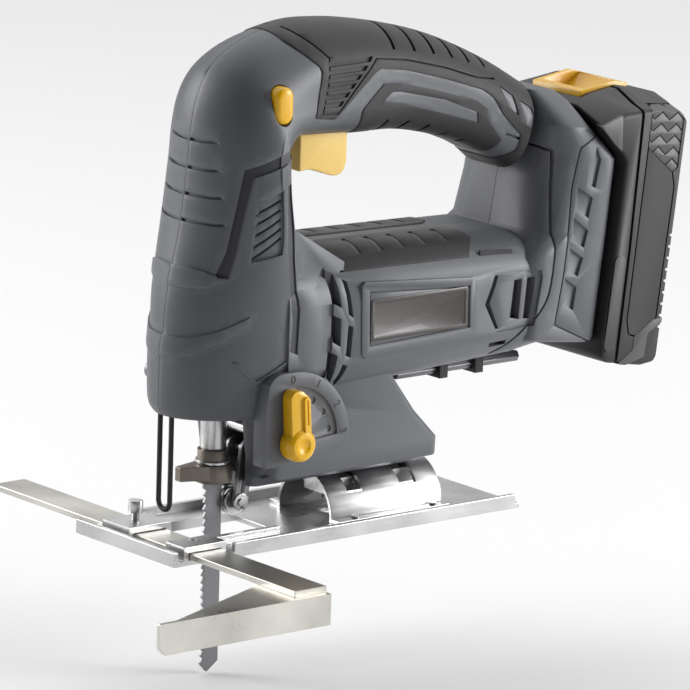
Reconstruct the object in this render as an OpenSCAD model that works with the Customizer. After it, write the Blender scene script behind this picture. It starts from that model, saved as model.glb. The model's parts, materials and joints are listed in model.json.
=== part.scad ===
// Cordless jigsaw: two housing shells round a geared scotch-yoke drive, a bevelling sole plate
// with a side fence, and a slide-on battery pack. X runs back to the battery, Y to the machine's
// right, Z up. The origin is the centre of the sole plate's underside.

/* [Sole plate] */
// Length of the sole plate
base_len = 170; // [140:1:210]
// Width of the sole plate
base_w = 62; // [56:1:78]
// Thickness of the sole sheet
plate_t = 2; // [1.5:0.1:2.2]
// Height of the folded side rails
rail_h = 5.6; // [4:0.1:6]
// Width of the slot round the blade
notch_w = 25; // [22:0.5:30]
// Outer radius of the bevel saddle
saddle_r = 17; // [14:0.5:20.5]
// Sheet thickness of the saddle
saddle_t = 1.6; // [1:0.1:2]
// Length of the saddle
saddle_len = 55; // [46:1:56]
// Height of the bevel axis above the sole
bevel_z = 3; // [2.5:0.1:3.5]

/* [Side fence] */
// Width of the fence bar
fence_w = 15; // [12:0.5:18]
// Length of the fence bar
fence_len = 190; // [160:1:228]
// Thickness of the fence bar
fence_t = 2.4; // [1.8:0.1:2.8]
// Length of the fence plate
fence_plate_len = 72; // [50:1:90]
// Depth of the fence plate below its bar
fence_drop = 12; // [8:1:20]

/* [Housing] */
// Height of the handle's crown
crown_z = 197.8; // [192:0.2:215]
// Wall of the housing shells
wall = 3; // [2:0.1:3.4]
// Thickness of the rubber grip
grip_t = 2.4; // [1.5:0.1:3]
// Foot position behind the sole's centre
foot_x = 120.7; // [119:0.1:130]
// Lean of the battery rail
lean = 7; // [4:0.5:9]

/* [Motor and gears] */
// Diameter of the motor can
can_d = 44; // [36:0.5:53]
// Length of the motor can
can_len = 66; // [56:1:72]
// Space between the motor can and the inside of the shells
can_gap = 6.5; // [5:0.1:9]
// Gear module
gear_m = 0.7; // [0.6:0.05:0.75]
// Teeth on the drive gear
gear_teeth = 42; // [40:1:44]
// Teeth on the motor pinion
pinion_teeth = 9; // [9:1:10]
// Blade stroke
stroke = 20; // [16:1:21]

/* [Blade and clamp] */
// Diameter of the plunger rod
rod_d = 10; // [8:0.5:12]
// Width of the saw blade
blade_w = 8.6; // [7:0.1:8.8]
// Thickness of the saw blade
blade_t = 1.3; // [1:0.1:1.6]
// Length of the blade below its clamp
blade_len = 76; // [60:1:100]
// Pitch of the blade's teeth
tooth_pitch = 2.9; // [2:0.1:4]
// Diameter of the blade's support roller
roller_d = 11.5; // [9.5:0.1:12]

/* [Controls] */
// Length of the trigger
trigger_len = 23; // [18:0.5:26]
// Width of the trigger
trigger_w = 18; // [14:0.5:20]
// Trigger travel
trigger_travel = 6; // [4:0.5:6.5]
// Lock button travel
lock_travel = 3.5; // [2:0.5:4]
// Width across the flats of the hex key
key_af = 4; // [3:0.5:5]

/* [Battery] */
// Width of the battery
batt_w = 73; // [69:0.5:84]
// Depth of the battery behind the foot
batt_d = 30; // [27:0.5:36]
// Diameter of a cell
cell_d = 18.2; // [17:0.1:18.6]
// Number of cells
cell_count = 5; // [3:1:5]

/* [Clearances] */
// Radial clearance of a running fit
run_fit = 0.05; // [0.02:0.01:0.09]
// Gap round parts that slide or swing
slide_fit = 0.3; // [0.2:0.05:0.4]
// Gap round parts that are pressed or glued in
press_gap = 0.1; // [0.05:0.05:0.2]

/* [Hidden] */
$fn = 48;
eps = 0.01;
big = 400;

steel = [0.78, 0.79, 0.80];
bright = [0.86, 0.86, 0.85];
dark_steel = [0.25, 0.25, 0.27];
bronze = [0.52, 0.46, 0.40];
shell_grey = [0.36, 0.38, 0.41];
rubber = [0.13, 0.13, 0.14];
pack_black = [0.10, 0.10, 0.11];
yellow = [0.93, 0.66, 0.08];
amber = [0.95, 0.76, 0.40];
copper = [0.72, 0.43, 0.26];
board_green = [0.08, 0.32, 0.18];
nylon = [0.80, 0.79, 0.74];

// Blade and rod line
rod_x = -43.6;
rod_r = rod_d / 2;
holder_r = rod_r + 1;
ring_r = holder_r + 1.5;
ring_z = [22, 29];
holder_z = [21.5, 34.5];
blade_top = 32;
rod_top = 140;
plunge_down = 3;
plunge_up = stroke - plunge_down;
crank_r = stroke / 2;
crank_drop = crank_r - plunge_down;
bush_r = rod_r + 4;
low_bush_z = [52, 64];
high_bush_z = [124, 134];

// Drive train
barrel_half = can_d / 2 + can_gap + wall;
motor_z = 84.5;
can_r = can_d / 2;
gear_r = gear_m * gear_teeth / 2;
pinion_r = gear_m * pinion_teeth / 2;
gear_z = motor_z + gear_r + pinion_r;
gear_x = [-36.5, -30.5];
gear_bore = 3;
shaft_r = 2.5;
stub_r = 1.8;
bearing_r = 7;
frame_x = [-29.8, -26.3];
can_x = frame_x[1];
can_t = 1.5;
cap_len = 7;
fan_x = can_x + can_len + cap_len + 3;
yoke_x = [-41.3, -37.8];
yoke_pin_r = 3;
yoke_z = gear_z - crank_drop;
yoke_half = [crank_r + yoke_pin_r + 3.5, yoke_pin_r + 4];

// Orbital roller, its fork and the selector
roller_x = rod_x + blade_w / 2 + 5.5;
roller_z = 13;
roller_r = roller_d / 2;
roller_w = 6;
fork_pivot = [-29.5, 33];
fork_gap = roller_w / 2 + slide_fit;
fork_t = 1.8;
pivot_r = 1.5;
select_x = -31.6;
select_z = 42.1;
select_r = 2.4;
dial_r = 27.5;
dial_y = [-34, -24];
knob_y = [-41, -34 - 0.2];

// Sole plate
base_half = base_w / 2;
bar_x = -70.3;
bar_z = plate_t + 0.2;
strap_t = 2.4;
strap_top = bar_z + fence_t + 0.2 + strap_t;
screw_x = bar_x - 0.7;
screw_y = 12;
screw_r = 1.5;
far_strap = [3.5, 20.5];
near_strap = [-base_half, -19.5];
boss_y = -23;
rail_x0 = -56;
notch_x = [-60, -22];
saddle_x = [2, 2 + saddle_len];
bolt_x = [16, 42];
bolt_r = 2.5;
fence_y = -97;

// Housing foot and battery, in a frame that leans with the rail: u back, v up along the rail
foot_z = 63.8;
foot_half = barrel_half + 1.5;
pack_half = batt_w / 2;
pack_v = [-9, 90];
tongue_v = [5, 66];
tongue_half = [12, 17];
tongue_u = [-9, -5];
button_travel = 3;
cell_pitch = cell_d + 0.4;

// Points and frames
function crown(x, dz) = [x, crown_z + dz];
function foot_pt(u, v) = [foot_x + u * cos(lean) + v * sin(lean),
    foot_z - u * sin(lean) + v * cos(lean)];

module at_foot() translate([foot_x, 0, foot_z]) rotate([0, lean, 0]) children();
module along_x(x, y, z) translate([x, y, z]) rotate([0, 90, 0]) children();
module along_y(x, y, z) translate([x, y, z]) rotate([-90, 0, 0]) children();
module side(h) translate([0, h, 0]) rotate([90, 0, 0]) linear_extrude(2 * h) children();
module half(s) intersection() {
    children();
    translate([-big / 2, s > 0 ? 0 : -big / 2, -big / 2]) cube([big, big / 2, big]);
}
module ring(r_out, r_in, h) difference() {
    cylinder(r = r_out, h = h);
    translate([0, 0, -1]) cylinder(r = r_in, h = h + 2);
}
module box(x, y, z) translate([x[0], y[0], z[0]]) cube([x[1] - x[0], y[1] - y[0], z[1] - z[0]]);

// Housing form. A station is [inner point, outer point, half width, front depth, corner radius].
column_stations = [
    [[-24, 50.5], [-68.6, 50.5], barrel_half - 5, 40, 6],
    [[-24, 56], [-70.5, 56], barrel_half - 2, 44, 8],
    [[-24, 74.5], [-70.1, 74.5], barrel_half - 1, 42, 8],
    [[-24, 82.2], [-66.9, 82.2], barrel_half - 1, 38, 8],
    [[-24, 101.4], [-67.1, 101.4], barrel_half - 0.5, 35, 8],
    [[-24, 107.6], [-63.2, 107.6], barrel_half - 0.5, 30, 8],
    [[-27.4, 123], [-61.9, 125.5], barrel_half - 0.5, 27, 8],
    [[-28.5, 146], [-59.3, 146], barrel_half - 1, 26, 9],
    [crown(-27, -43.5), crown(-57, -29.8), barrel_half - 2, 25, 10],
    [crown(-24, -41.5), crown(-47.5, -14), barrel_half - 4, 24, 10],
    [crown(-18, -41.5), crown(-30, -4), barrel_half - 7, 22, 10],
    [crown(-8, -42.5), crown(-10, 0), barrel_half - 9.5, 20, 10]];
handle_stations = [
    [crown(-8, -42.5), crown(-10, 0), barrel_half - 9.5, 20, 10],
    [crown(13, -44), crown(13, -1.6), barrel_half - 11.5, 18, 11],
    [crown(31, -44.8), crown(31, -4.8), barrel_half - 13, 17, 12],
    [crown(47, -47.6), crown(49, -9.4), barrel_half - 13.5, 17, 12],
    [crown(62, -51.8), crown(66, -15.7), barrel_half - 13.5, 17, 12],
    [crown(77, -58), crown(84, -24.2), barrel_half - 13, 17, 12],
    [crown(88, -65.5), crown(100, -33.5), barrel_half - 11, 18, 12]];

// Inner stations sit slightly along the chain, so that no two end planes coincide
station_shift = 0.06;
module station(p, o) {
    d = p[1] - p[0];
    l = norm(d) - 2 * o;
    w = p[2] - o;
    a = min(p[3], l - 2);
    r = max(p[4] - o, 2);
    translate([p[0][0], 0, p[0][1]]) rotate([0, -atan2(d[1], d[0]), 0])
        translate([o, 0, -o * station_shift])
        linear_extrude(0.02) hull() {
            translate([l - a, 0]) scale([a, w]) circle(r = 1);
            for (s = [-1, 1]) translate([r, s * (w - r)]) circle(r = r, $fn = 24);
        }
}
module chain(list, o) for (i = [0 : len(list) - 2]) hull() {
    station(list[i], o);
    station(list[i + 1], o);
}
module barrel_form(o) hull() for (p = [[-33, 56, 112], [84, 61, 109.6], [98, 63, 105]])
    along_x(p[0], 0, 0) linear_extrude(0.02) for (s = [-1, 1]) {
        translate([-p[1] - 13, s * (barrel_half - 13)]) circle(r = 13 - o);
        translate([-p[2] + 20, s * (barrel_half - 20)]) circle(r = 20 - o);
    }
module slab(x0, x1, w, z, o) {
    half_outline = [[x0 + o, w - o - 8], [x0 + o + 7, w - o], [x1 - o - 4, w - o],
        [x1 - o, w - o - 4]];
    translate([0, 0, z]) linear_extrude(0.02) polygon(concat(half_outline,
        [for (i = [3 : -1 : 0]) [half_outline[i][0], -half_outline[i][1]]]));
}
ped_top = 24.5;
ped_low = 20.4 + saddle_r - 17;
module pedestal_form(o) {
    hull() { slab(-40, 22, 28, 61, o); slab(-36, 38, 24.5, 43, o); }
    hull() { slab(-36, 38, 24.5, 43, o); slab(-34, 49.5, 24, 32, o); }
    hull() { slab(-34, 49.5, 24, 32.01, o); slab(-34, 49.5, 24, ped_top + o, o); }
    hull() { slab(-34, 48, 12.5, ped_low + o, o); slab(-34, 49.5, 20, ped_top + 5, o); }
}
module foot_form(o) hull() {
    side(foot_half - o) polygon([[84 + o, 66 + o], foot_pt(-29, -2 + o), foot_pt(-o, -0.3 + o),
        foot_pt(-0.3 - o, 71.5), foot_pt(-2.7 - o, 73.8 - o), foot_pt(-15.3, 84 - o),
        foot_pt(-24, 85 - o), [96 + o, 108], [84 + o, 104 - o]]);
    side(foot_half - 14 - o) polygon([foot_pt(-16, 91.8 - o), foot_pt(-3 - o, 73.8 - o),
        crown(89 + o, -64), crown(99 + o, -36 - o), crown(105, -36.5 - o)]);
}
module body_form(o) {
    chain(column_stations, o);
    chain(handle_stations, o);
    barrel_form(o);
    pedestal_form(o);
    foot_form(o);
}
module grip_form(o) intersection() {
    chain(handle_stations, o);
    side(60) polygon([crown(-3.2, 20), crown(-3.2, -60), crown(60, -90), crown(81.3, -66.7),
        crown(96.1, -27.4), crown(96.1, 20)]);
}
module tongue(g) at_foot() {
    box([tongue_u[1] - g, 0.5], [-tongue_half[0] - g, tongue_half[0] + g],
        [tongue_v[0] - 1.5 * g, g > 0 ? 130 : tongue_v[1]]);
    box([tongue_u[0] - g, tongue_u[1] + g], [-tongue_half[1] - g, tongue_half[1] + g],
        [tongue_v[0] - 1.5 * g, g > 0 ? 130 : tongue_v[1]]);
}

// Screws run from the right shell into the left one: [x, z]
screw_at = [[-60, 64], [-46.5, 165.5], [96, 150], [90, 74], [9, 49], [32, 36.5]];
boss_r = 4;
shank_r = 1.7;
head_r = 3.5;
head_y = foot_half - 14;

lock_at = [-34.5, crown_z - 26.8];
lock_flange_y = -18.2;
module pill(w, h) hull() for (s = [-1, 1]) translate([0, s * (h - w) / 2]) circle(d = w);

module cavity() {
    chain(column_stations, wall);
    chain(handle_stations, wall + grip_t);
    barrel_form(wall);
    // way through from the column to the handle for the switch and wires
    box([-14, -4], [-11, 11], [crown_z - 37, crown_z - 12]);
    intersection() {
        pedestal_form(wall);
        box([-big, big], [-big, big], [42, big]);
    }
    intersection() {
        foot_form(wall);
        at_foot() box([-big, tongue_u[0] - wall], [-big, big], [-big, big]);
    }
}
module vents() {
    for (v = [[-12.4, 99, 3.6, 11], [-11, 83.5, 3.4, 11], [-13, 69, 3.2, 9],
        [-5.2, 95.5, 3, 14], [-4, 79, 2.6, 11], [78, 84, 3, 18], [84.5, 84, 3, 18],
        [64.8, 84, 3, 18]])
        translate([v[0], 0, v[1]]) cube([v[2], big, v[3]], center = true);
    translate([78, 0, 101]) cube([17, big, 2.6], center = true);
}
module shell_cuts() {
    // rod hole and fork recess
    translate([rod_x, 0, 40]) cylinder(r = bush_r + 0.1, h = 15);
    box([-60, -22.5], [-7.8, 7.8], [0, 50.6]);
    // openings for the trigger and the fork pin
    box([trigger_x - slide_fit, trigger_x + trigger_len + slide_fit],
        [-trigger_w / 2 - slide_fit, trigger_w / 2 + slide_fit], [130, switch_low]);
    along_y(fork_pivot[0], -11, fork_pivot[1]) cylinder(r = pivot_r + 0.1, h = 22);
    // battery rail, clamp bolts and guard legs
    tongue(slide_fit);
    block_blank(press_gap);
    rail_sweep();
    for (x = bolt_x) translate([x, 0, 0]) cylinder(r = bolt_r + 0.1, h = 36);
    for (s = [-1, 1]) translate([guard_x, s * guard_y, 40]) cylinder(r = guard_r + 0.05, h = 20);
}
module bosses(s) for (p = screw_at) along_y(p[0], s > 0 ? 0 : -40, p[1])
    cylinder(r = boss_r, h = 40);
// Path of the sole's side rails as it bevels, cut from the pedestal's underside
sweep_out = norm([base_half, rail_h - bevel_z]) + 0.5;
sweep_in = base_half - 2.5;
sweep_from = 44 - atan((rail_h - bevel_z) / (base_half - 2));
module rail_sweep() translate([-60, 0, bevel_z]) rotate([90, 0, 90]) linear_extrude(140)
    for (s = [-1, 1]) intersection() {
        difference() {
            circle(r = sweep_out, $fn = 96);
            circle(r = sweep_in, $fn = 96);
        }
        polygon([[0, 0], [s * big * sin(sweep_from), big * cos(sweep_from)], [s * big, 0]]);
    }
// Terminal block: a bar with two blades, or the pocket for it with a gap g
module block_blank(g) at_foot() {
    box([tongue_u[0] - 0.3 - g, -1.2 + g], [-tongue_half[0] - g, tongue_half[0] + g],
        [0.6 - g, 4.2 - slide_fit + g]);
    for (s = [-1, 1]) box([-7.6 - g, -3 + g], [s * 7 - 0.5 - g, s * 7 + 0.5 + g], [3, 14]);
}

// Wire guard in front of the blade
guard_x = -66.6;
guard_y = 3.5;
guard_r = 1;
guard_low = 12.6;
guard_top = 58;
trigger_x = -12.2;
trigger_low = crown_z - 60.6;
trigger_top = crown_z - 36.8;
switch_low = crown_z - 29.2;

module left_shell() color(shell_grey) difference() {
    half(-1) difference() {
        union() {
            difference() { body_form(0); grip_cut(); cavity(); }
            intersection() {
                body_form(0.5);
                shell_ribs();
            }
        }
        shell_cuts();
        vents();
    }
    for (p = screw_at) along_y(p[0], -14, p[1]) cylinder(r = shank_r + 0.1, h = 20);
    along_y(select_x, -60, select_z) cylinder(r = select_r + 0.1, h = 60);
    along_y(lock_at[0], -60, lock_at[1]) linear_extrude(60 + lock_flange_y)
        pill(8.3 + 2 * slide_fit, 14.5 + 2 * slide_fit);
    along_y(lock_at[0], lock_flange_y - 0.15, lock_at[1]) linear_extrude(8)
        pill(10.2 + 2 * slide_fit, 16.4 + 2 * slide_fit);
    dial_blank();
    plate_blank(-1);
    pad_blank(-1);
}
module shell_ribs() union() {
    bosses(-1);
    // stop for the lock button's spring
    box([-39, -30], [lock_flange_y + 10.5, -1], [lock_at[1] - 5, crown_z]);
    motor_ribs();
}
module right_shell() color(shell_grey) difference() {
    half(1) difference() {
        union() {
            difference() { body_form(0); grip_cut(); cavity(); }
            intersection() { body_form(0.5); mirror([0, 1, 0]) motor_ribs(); }
            intersection() { body_form(0.5); bosses(1); }
        }
        shell_cuts();
        vents();
    }
    for (p = screw_at) along_y(p[0], -1, p[1]) {
        cylinder(r = shank_r + 0.1, h = big / 2);
        translate([0, 0, head_y - 3 + 1]) cylinder(r = head_r + 0.2, h = big / 2);
    }
    plate_blank(1);
    pad_blank(1);
}
// Cradle ribs under and over the motor
module motor_ribs() for (x = [can_x + 8, can_x + can_len - 10]) difference() {
    box([x, x + 3], [-big, 0], [50, 120]);
    along_x(x - 1, 0, motor_z) cylinder(r = can_r + 0.02, h = 5);
}
module grip_cut() difference() { grip_form(-1); chain(handle_stations, grip_t); }

// Rubber mouldings and plates
module grip(s) color(rubber) half(s) difference() {
    grip_form(0);
    chain(handle_stations, grip_t);
    foot_form(0);
    box([trigger_x - 1, trigger_x + trigger_len + 1], [-trigger_w / 2 - 1, trigger_w / 2 + 1],
        [130, crown_z - 32]);
}
module left_grip() grip(-1);
module right_grip() grip(1);
pad_x = [-9, 66];
module pad_blank(s) half(s) intersection() {
    difference() { barrel_form(-0.8); barrel_form(1.2); }
    box(pad_x, [-25, 25], [103, 120]);
    translate([0, 0, -3]) box([pad_x[0], pad_x[1]], [-25, 25], [105, 130]);
}
module left_barrel_pad() color(rubber) pad_blank(-1);
module right_barrel_pad() color(rubber) pad_blank(1);
plate_x = [7.7, 52.3];
plate_z = [76.4, 93.1];
module plate_blank(s) box(plate_x, s < 0 ? [-barrel_half - 0.6, -barrel_half + 0.8]
    : [barrel_half - 0.8, barrel_half + 0.6], plate_z);
module left_nameplate() color(dark_steel) plate_blank(-1);
module right_nameplate() color(dark_steel) plate_blank(1);
module dial_blank() intersection() {
    along_y(select_x, dial_y[0], select_z) cylinder(r = dial_r, h = dial_y[1] - dial_y[0]);
    box([select_x - 13, select_x + dial_r + 1], [-60, 0], [select_z - 9, select_z + dial_r + 1]);
}
module dial_plate() color([0.42, 0.44, 0.47]) difference() {
    dial_blank();
    along_y(select_x, -60, select_z) cylinder(r = select_r + 0.1, h = 60);
}
module housing_screws() color(dark_steel) for (p = screw_at) along_y(p[0], -13, p[1]) {
    cylinder(r = shank_r, h = 13 + head_y - 3);
    translate([0, 0, 13 + head_y - 3]) difference() {
        cylinder(r = head_r, h = 2.4);
        translate([0, 0, 1]) cylinder(r = 1.6, h = 3, $fn = 6);
    }
}
module wire_guard() color([0.05, 0.05, 0.05]) translate([guard_x, 0, 0]) {
    for (s = [-1, 1]) translate([0, s * guard_y, guard_low + guard_y + guard_r])
        cylinder(r = guard_r, h = guard_top - guard_low - guard_y - guard_r);
    translate([0, 0, guard_low + guard_y + guard_r]) rotate([0, 0, 90]) rotate([-90, 0, 0])
        rotate_extrude(angle = 180) translate([guard_y, 0]) circle(r = guard_r);
}

// Motor
module motor_can() color(steel) along_x(can_x, 0, motor_z) difference() {
    cylinder(r = can_r, h = can_len);
    translate([0, 0, 2]) cylinder(r = can_r - can_t, h = can_len);
    translate([0, 0, -1]) cylinder(r = bearing_r + 0.5, h = 4);
}
magnet_t = 2.5;
module motor_magnets() color(dark_steel) along_x(can_x + 9, 0, motor_z) intersection() {
    ring(can_r - can_t, can_r - can_t - magnet_t, can_len - 18);
    union() for (s = [0, 180]) rotate(s) translate([2, -can_r, -1]) cube([can_r, can_d, can_len]);
}
module motor_end_cap() color(nylon) along_x(can_x + can_len, 0, motor_z)
    ring(can_r, bearing_r, cap_len);
module front_bearing() color(bright) along_x(frame_x[0], 0, motor_z)
    ring(bearing_r, shaft_r + run_fit, frame_x[1] - frame_x[0]);
module rear_bearing() color(bright) along_x(can_x + can_len + 1, 0, motor_z)
    ring(bearing_r, shaft_r + run_fit, cap_len - 1);
module armature() color(copper) along_x(0, 0, motor_z) {
    translate([0, 0, can_x + 14]) cylinder(r = can_r - can_t - magnet_t - 1, h = can_len - 34);
    translate([0, 0, can_x + can_len - 12]) cylinder(r = 9, h = 8);
    translate([0, 0, gear_x[0] - 0.5]) cylinder(r = stub_r, h = 8);
    translate([0, 0, gear_x[1] + 0.2]) cylinder(r = shaft_r, h = fan_x + 8 - gear_x[1]);
}
module pinion() color(steel) along_x(gear_x[0], 0, motor_z) difference() {
    linear_extrude(gear_x[1] - gear_x[0])
        gear_outline(pinion_teeth, pinion_teeth % 2 == 1 ? 0 : 180 / pinion_teeth);
    translate([0, 0, -1]) cylinder(r = stub_r, h = 20);
}
fan_r = can_r - 2;
module cooling_fan() color(nylon) along_x(fan_x, 0, motor_z) difference() {
    union() {
        cylinder(r = 6, h = 8);
        cylinder(r = fan_r, h = 1.5);
        for (a = [0 : 30 : 359]) rotate(a) translate([5, -0.6, 0]) cube([fan_r - 6, 1.2, 8]);
    }
    translate([0, 0, -1]) cylinder(r = shaft_r, h = 12);
}

// Gears: straight-flanked teeth, tip narrower than root
module gear_outline(n, turn) {
    r = gear_m * n / 2;
    step = 360 / n;
    rotate(turn) polygon([for (i = [0 : n - 1]) for (c = [[-0.30, -0.95], [-0.11, 0.75],
        [0.11, 0.75], [0.30, -0.95]])
        let (a = (i + c[0]) * step, q = r + c[1] * gear_m) [q * cos(a), q * sin(a)]]);
}
module drive_gear() color(steel) difference() {
    union() {
        along_x(gear_x[0], 0, gear_z) linear_extrude(gear_x[1] - gear_x[0])
            gear_outline(gear_teeth, 0);
        along_x(gear_x[0] - 1.1, crank_y, gear_z - crank_drop) cylinder(r = 2, h = 2);
    }
    along_x(gear_x[0] - 1, 0, gear_z) cylinder(r = gear_bore + run_fit, h = 10);
}
crank_y = sqrt(crank_r * crank_r - crank_drop * crank_drop);
module crank_roller() color(bright) along_x(gear_x[0] - 1.1, crank_y, gear_z - crank_drop)
    ring(yoke_pin_r, 2, 1);
module gear_axle() color(bright) along_x(gear_x[0] + 0.5, 0, gear_z)
    cylinder(r = gear_bore, h = frame_x[1] - gear_x[0] - 0.5);
post_y = yoke_half[0] + 1.5;
module gear_frame() color([0.7, 0.71, 0.72]) difference() {
    union() {
        box(frame_x, [-post_y - 4, post_y + 4], [58, 109]);
        box([rod_x - bush_r - 2, frame_x[0]], [-bush_r - 3, bush_r + 3], [low_bush_z[0] + 4,
            low_bush_z[1]]);
        for (s = [-1, 1]) box([-36.2, frame_x[0]], s > 0 ? [post_y, post_y + 4]
            : [-post_y - 4, -post_y], [58, 106]);
        for (s = [-1, 1]) box([-36.2, -31.5], s > 0 ? [post_y, post_y + 4]
            : [-post_y - 4, -post_y], [104, high_bush_z[1]]);
        box([-36.2, -31.5], [-post_y - 2, post_y + 2], [high_bush_z[0] - 1, high_bush_z[1]]);
        box([rod_x - bush_r - 1.5, -31.5], [-bush_r - 2, bush_r + 2], [high_bush_z[0] - 1,
            high_bush_z[1]]);
    }
    along_x(frame_x[0] - 1, 0, motor_z) cylinder(r = bearing_r, h = 9);
    along_x(frame_x[0] - 1, 0, gear_z) cylinder(r = gear_bore, h = 9);
    translate([rod_x, 0, 40]) cylinder(r = bush_r, h = 110);
    along_y(-60, -20, 64) cylinder(r = boss_r + 0.4, h = 40);
}
module lower_bush() color(copper) translate([rod_x, 0, low_bush_z[0]])
    ring(bush_r, rod_r + run_fit, low_bush_z[1] - low_bush_z[0]);
module upper_bush() color(copper) translate([rod_x, 0, high_bush_z[0]])
    ring(bush_r, rod_r + run_fit, high_bush_z[1] - high_bush_z[0]);

// Plunger, blade and clamp
module plunger() color(steel) {
    translate([rod_x, 0, holder_z[1]]) cylinder(r = rod_r, h = rod_top - holder_z[1]);
    difference() {
        box([rod_x, yoke_x[1]], [-yoke_half[0], yoke_half[0]], [yoke_z - yoke_half[1],
            yoke_z + yoke_half[1]]);
        box([rod_x - 1, yoke_x[0]], [-30, 30], [yoke_z - 20, yoke_z + 20]);
        box([yoke_x[0] - 1, yoke_x[1] + 1], [-crank_r - yoke_pin_r - 0.3, -rod_r],
            [yoke_z - yoke_pin_r - 0.1, yoke_z + yoke_pin_r + 0.1]);
        box([yoke_x[0] - 1, yoke_x[1] + 1], [rod_r, crank_r + yoke_pin_r + 0.3],
            [yoke_z - yoke_pin_r - 0.1, yoke_z + yoke_pin_r + 0.1]);
    }
}
module clamp_holder() color(bronze) difference() {
    translate([rod_x, 0, holder_z[0]]) cylinder(r = holder_r, h = holder_z[1] - holder_z[0]);
    box([rod_x - blade_w / 2 - 0.2, rod_x + blade_w / 2 + 0.2],
        [-blade_t / 2 - 0.1, blade_t / 2 + 0.1], [0, blade_top]);
}
module clamp_spring() color(dark_steel) translate([rod_x, 0, ring_z[1] + 0.1])
    ring(holder_r + 0.9, holder_r, 1.4);
module clamp_collar() color(bronze) difference() {
    union() {
        translate([rod_x, 0, ring_z[0]]) cylinder(r = ring_r, h = ring_z[1] - ring_z[0]);
        translate([rod_x, 0, ring_z[0] + 1.5]) linear_extrude(ring_z[1] - ring_z[0] - 1.5)
            polygon([[0, ring_r - 0.5], [0, -ring_r + 0.5], [-ring_r, -4.5],
                [-16.4, -1.2], [-16.4, 2.2], [-ring_r, 4.5]]);
    }
    translate([rod_x, 0, 0]) cylinder(r = holder_r + run_fit, h = 60);
}
blade_low = ring_z[0] - blade_len;
tooth_depth = 1.3;
module blade() color(dark_steel) side(blade_t / 2) {
    n = floor((blade_len - 6) / tooth_pitch);
    top = ring_z[0] - 3;
    polygon(concat([[rod_x - blade_w / 2, blade_top], [rod_x - blade_w / 2, top]],
        [for (i = [0 : n - 1]) for (c = [[tooth_depth, -0.4], [0, 0.3 - tooth_pitch]])
            [rod_x - blade_w / 2 + c[0], top - i * tooth_pitch + c[1]]],
        [[rod_x - 1, blade_low], [rod_x + blade_w / 2, blade_low + 4],
            [rod_x + blade_w / 2, blade_top]]));
}

// Orbital roller
module support_roller() color(bright) difference() {
    along_y(roller_x, -roller_w / 2, roller_z) cylinder(r = roller_r, h = roller_w);
    along_y(roller_x, -roller_w, roller_z) cylinder(r = pivot_r + run_fit, h = 2 * roller_w);
    along_y(roller_x, -1.1, roller_z) ring(roller_r + 1, roller_r - 1.6, 2.2);
}
module roller_fork() color(pack_black) difference() {
    union() for (s = [-1, 1]) {
        y = s > 0 ? fork_gap : -fork_gap - fork_t;
        hull() {
            along_y(roller_x, y, roller_z) cylinder(r = 3, h = fork_t, $fn = 32);
            along_y(fork_pivot[0], y, fork_pivot[1]) cylinder(r = 4.3, h = fork_t, $fn = 32);
        }
        box([fork_pivot[0] - 1, fork_pivot[0] + 3], [-fork_gap - 0.5, fork_gap + 0.5], [23, 29]);
    }
    along_y(roller_x, -20, roller_z) cylinder(r = pivot_r, h = 40);
    along_y(fork_pivot[0], -20, fork_pivot[1]) cylinder(r = pivot_r + run_fit, h = 40);
}
module roller_pin() color(bright) along_y(roller_x, -fork_gap - fork_t - 1.4, roller_z)
    cylinder(r = pivot_r, h = 2 * (fork_gap + fork_t) + 2);
module roller_clip() color(bright) along_y(roller_x, -fork_gap - fork_t - 0.7, roller_z)
    difference() {
        ring(3.4, pivot_r, 0.7);
        translate([-1, 0, -1]) cube([2, 5, 3]);
    }
module fork_pivot_pin() color(steel) along_y(fork_pivot[0], -10.6, fork_pivot[1])
    cylinder(r = pivot_r, h = 21.2);
module selector_shaft() color(steel) along_y(select_x, knob_y[0] + 3, select_z)
    cylinder(r = select_r, h = -knob_y[0] + 3);
module selector_knob() color(yellow) difference() {
    union() {
        along_y(select_x, knob_y[0], select_z) cylinder(r = 6.2, h = knob_y[1] - knob_y[0]);
        translate([select_x, 0, select_z]) rotate([0, -4, 0])
            box([-3.8, 3.8], [knob_y[0] + 1, knob_y[1] - 0.3], [0, 21.5]);
    }
    along_y(select_x, knob_y[0] + 3, select_z) cylinder(r = select_r, h = 20);
}

// Sole plate, saddle and clamp
module base_plate() color(bright) difference() {
    union() {
        difference() {
            box([-base_len / 2, base_len / 2], [-base_half, base_half], [0, plate_t]);
            box(notch_x, [-notch_w / 2, notch_w / 2], [-1, 5]);
            for (x = bolt_x) translate([x, 0, -1]) cylinder(r = 5, h = 5);
        }
        for (s = [-1, 1]) {
            box([rail_x0, base_len / 2 - 2], s > 0 ? [base_half - 2, base_half]
                : [-base_half, -base_half + 2], [0, rail_h]);
            box([notch_x[0] + 2, notch_x[1]], s > 0 ? [notch_w / 2, notch_w / 2 + 3]
                : [-notch_w / 2 - 3, -notch_w / 2], [0, plate_t + 2]);
        }
        for (y = [far_strap, near_strap])
            box([bar_x - fence_w / 2 - 2.6, bar_x + fence_w / 2 + 2.6], y, [0, strap_top]);
        box([-base_len / 2, -base_len / 2 + 2], [-base_half, base_half], [0, rail_h]);
    }
    box([bar_x - fence_w / 2 - 0.2, bar_x + fence_w / 2 + 0.2], [-big / 2, big / 2],
        [bar_z - 0.2, bar_z + fence_t + 0.2]);
    translate([screw_x, screw_y, bar_z]) cylinder(r = screw_r + run_fit, h = 20);
    translate([bar_x, boss_y, bar_z]) cylinder(r = screw_r, h = 20);
}
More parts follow.
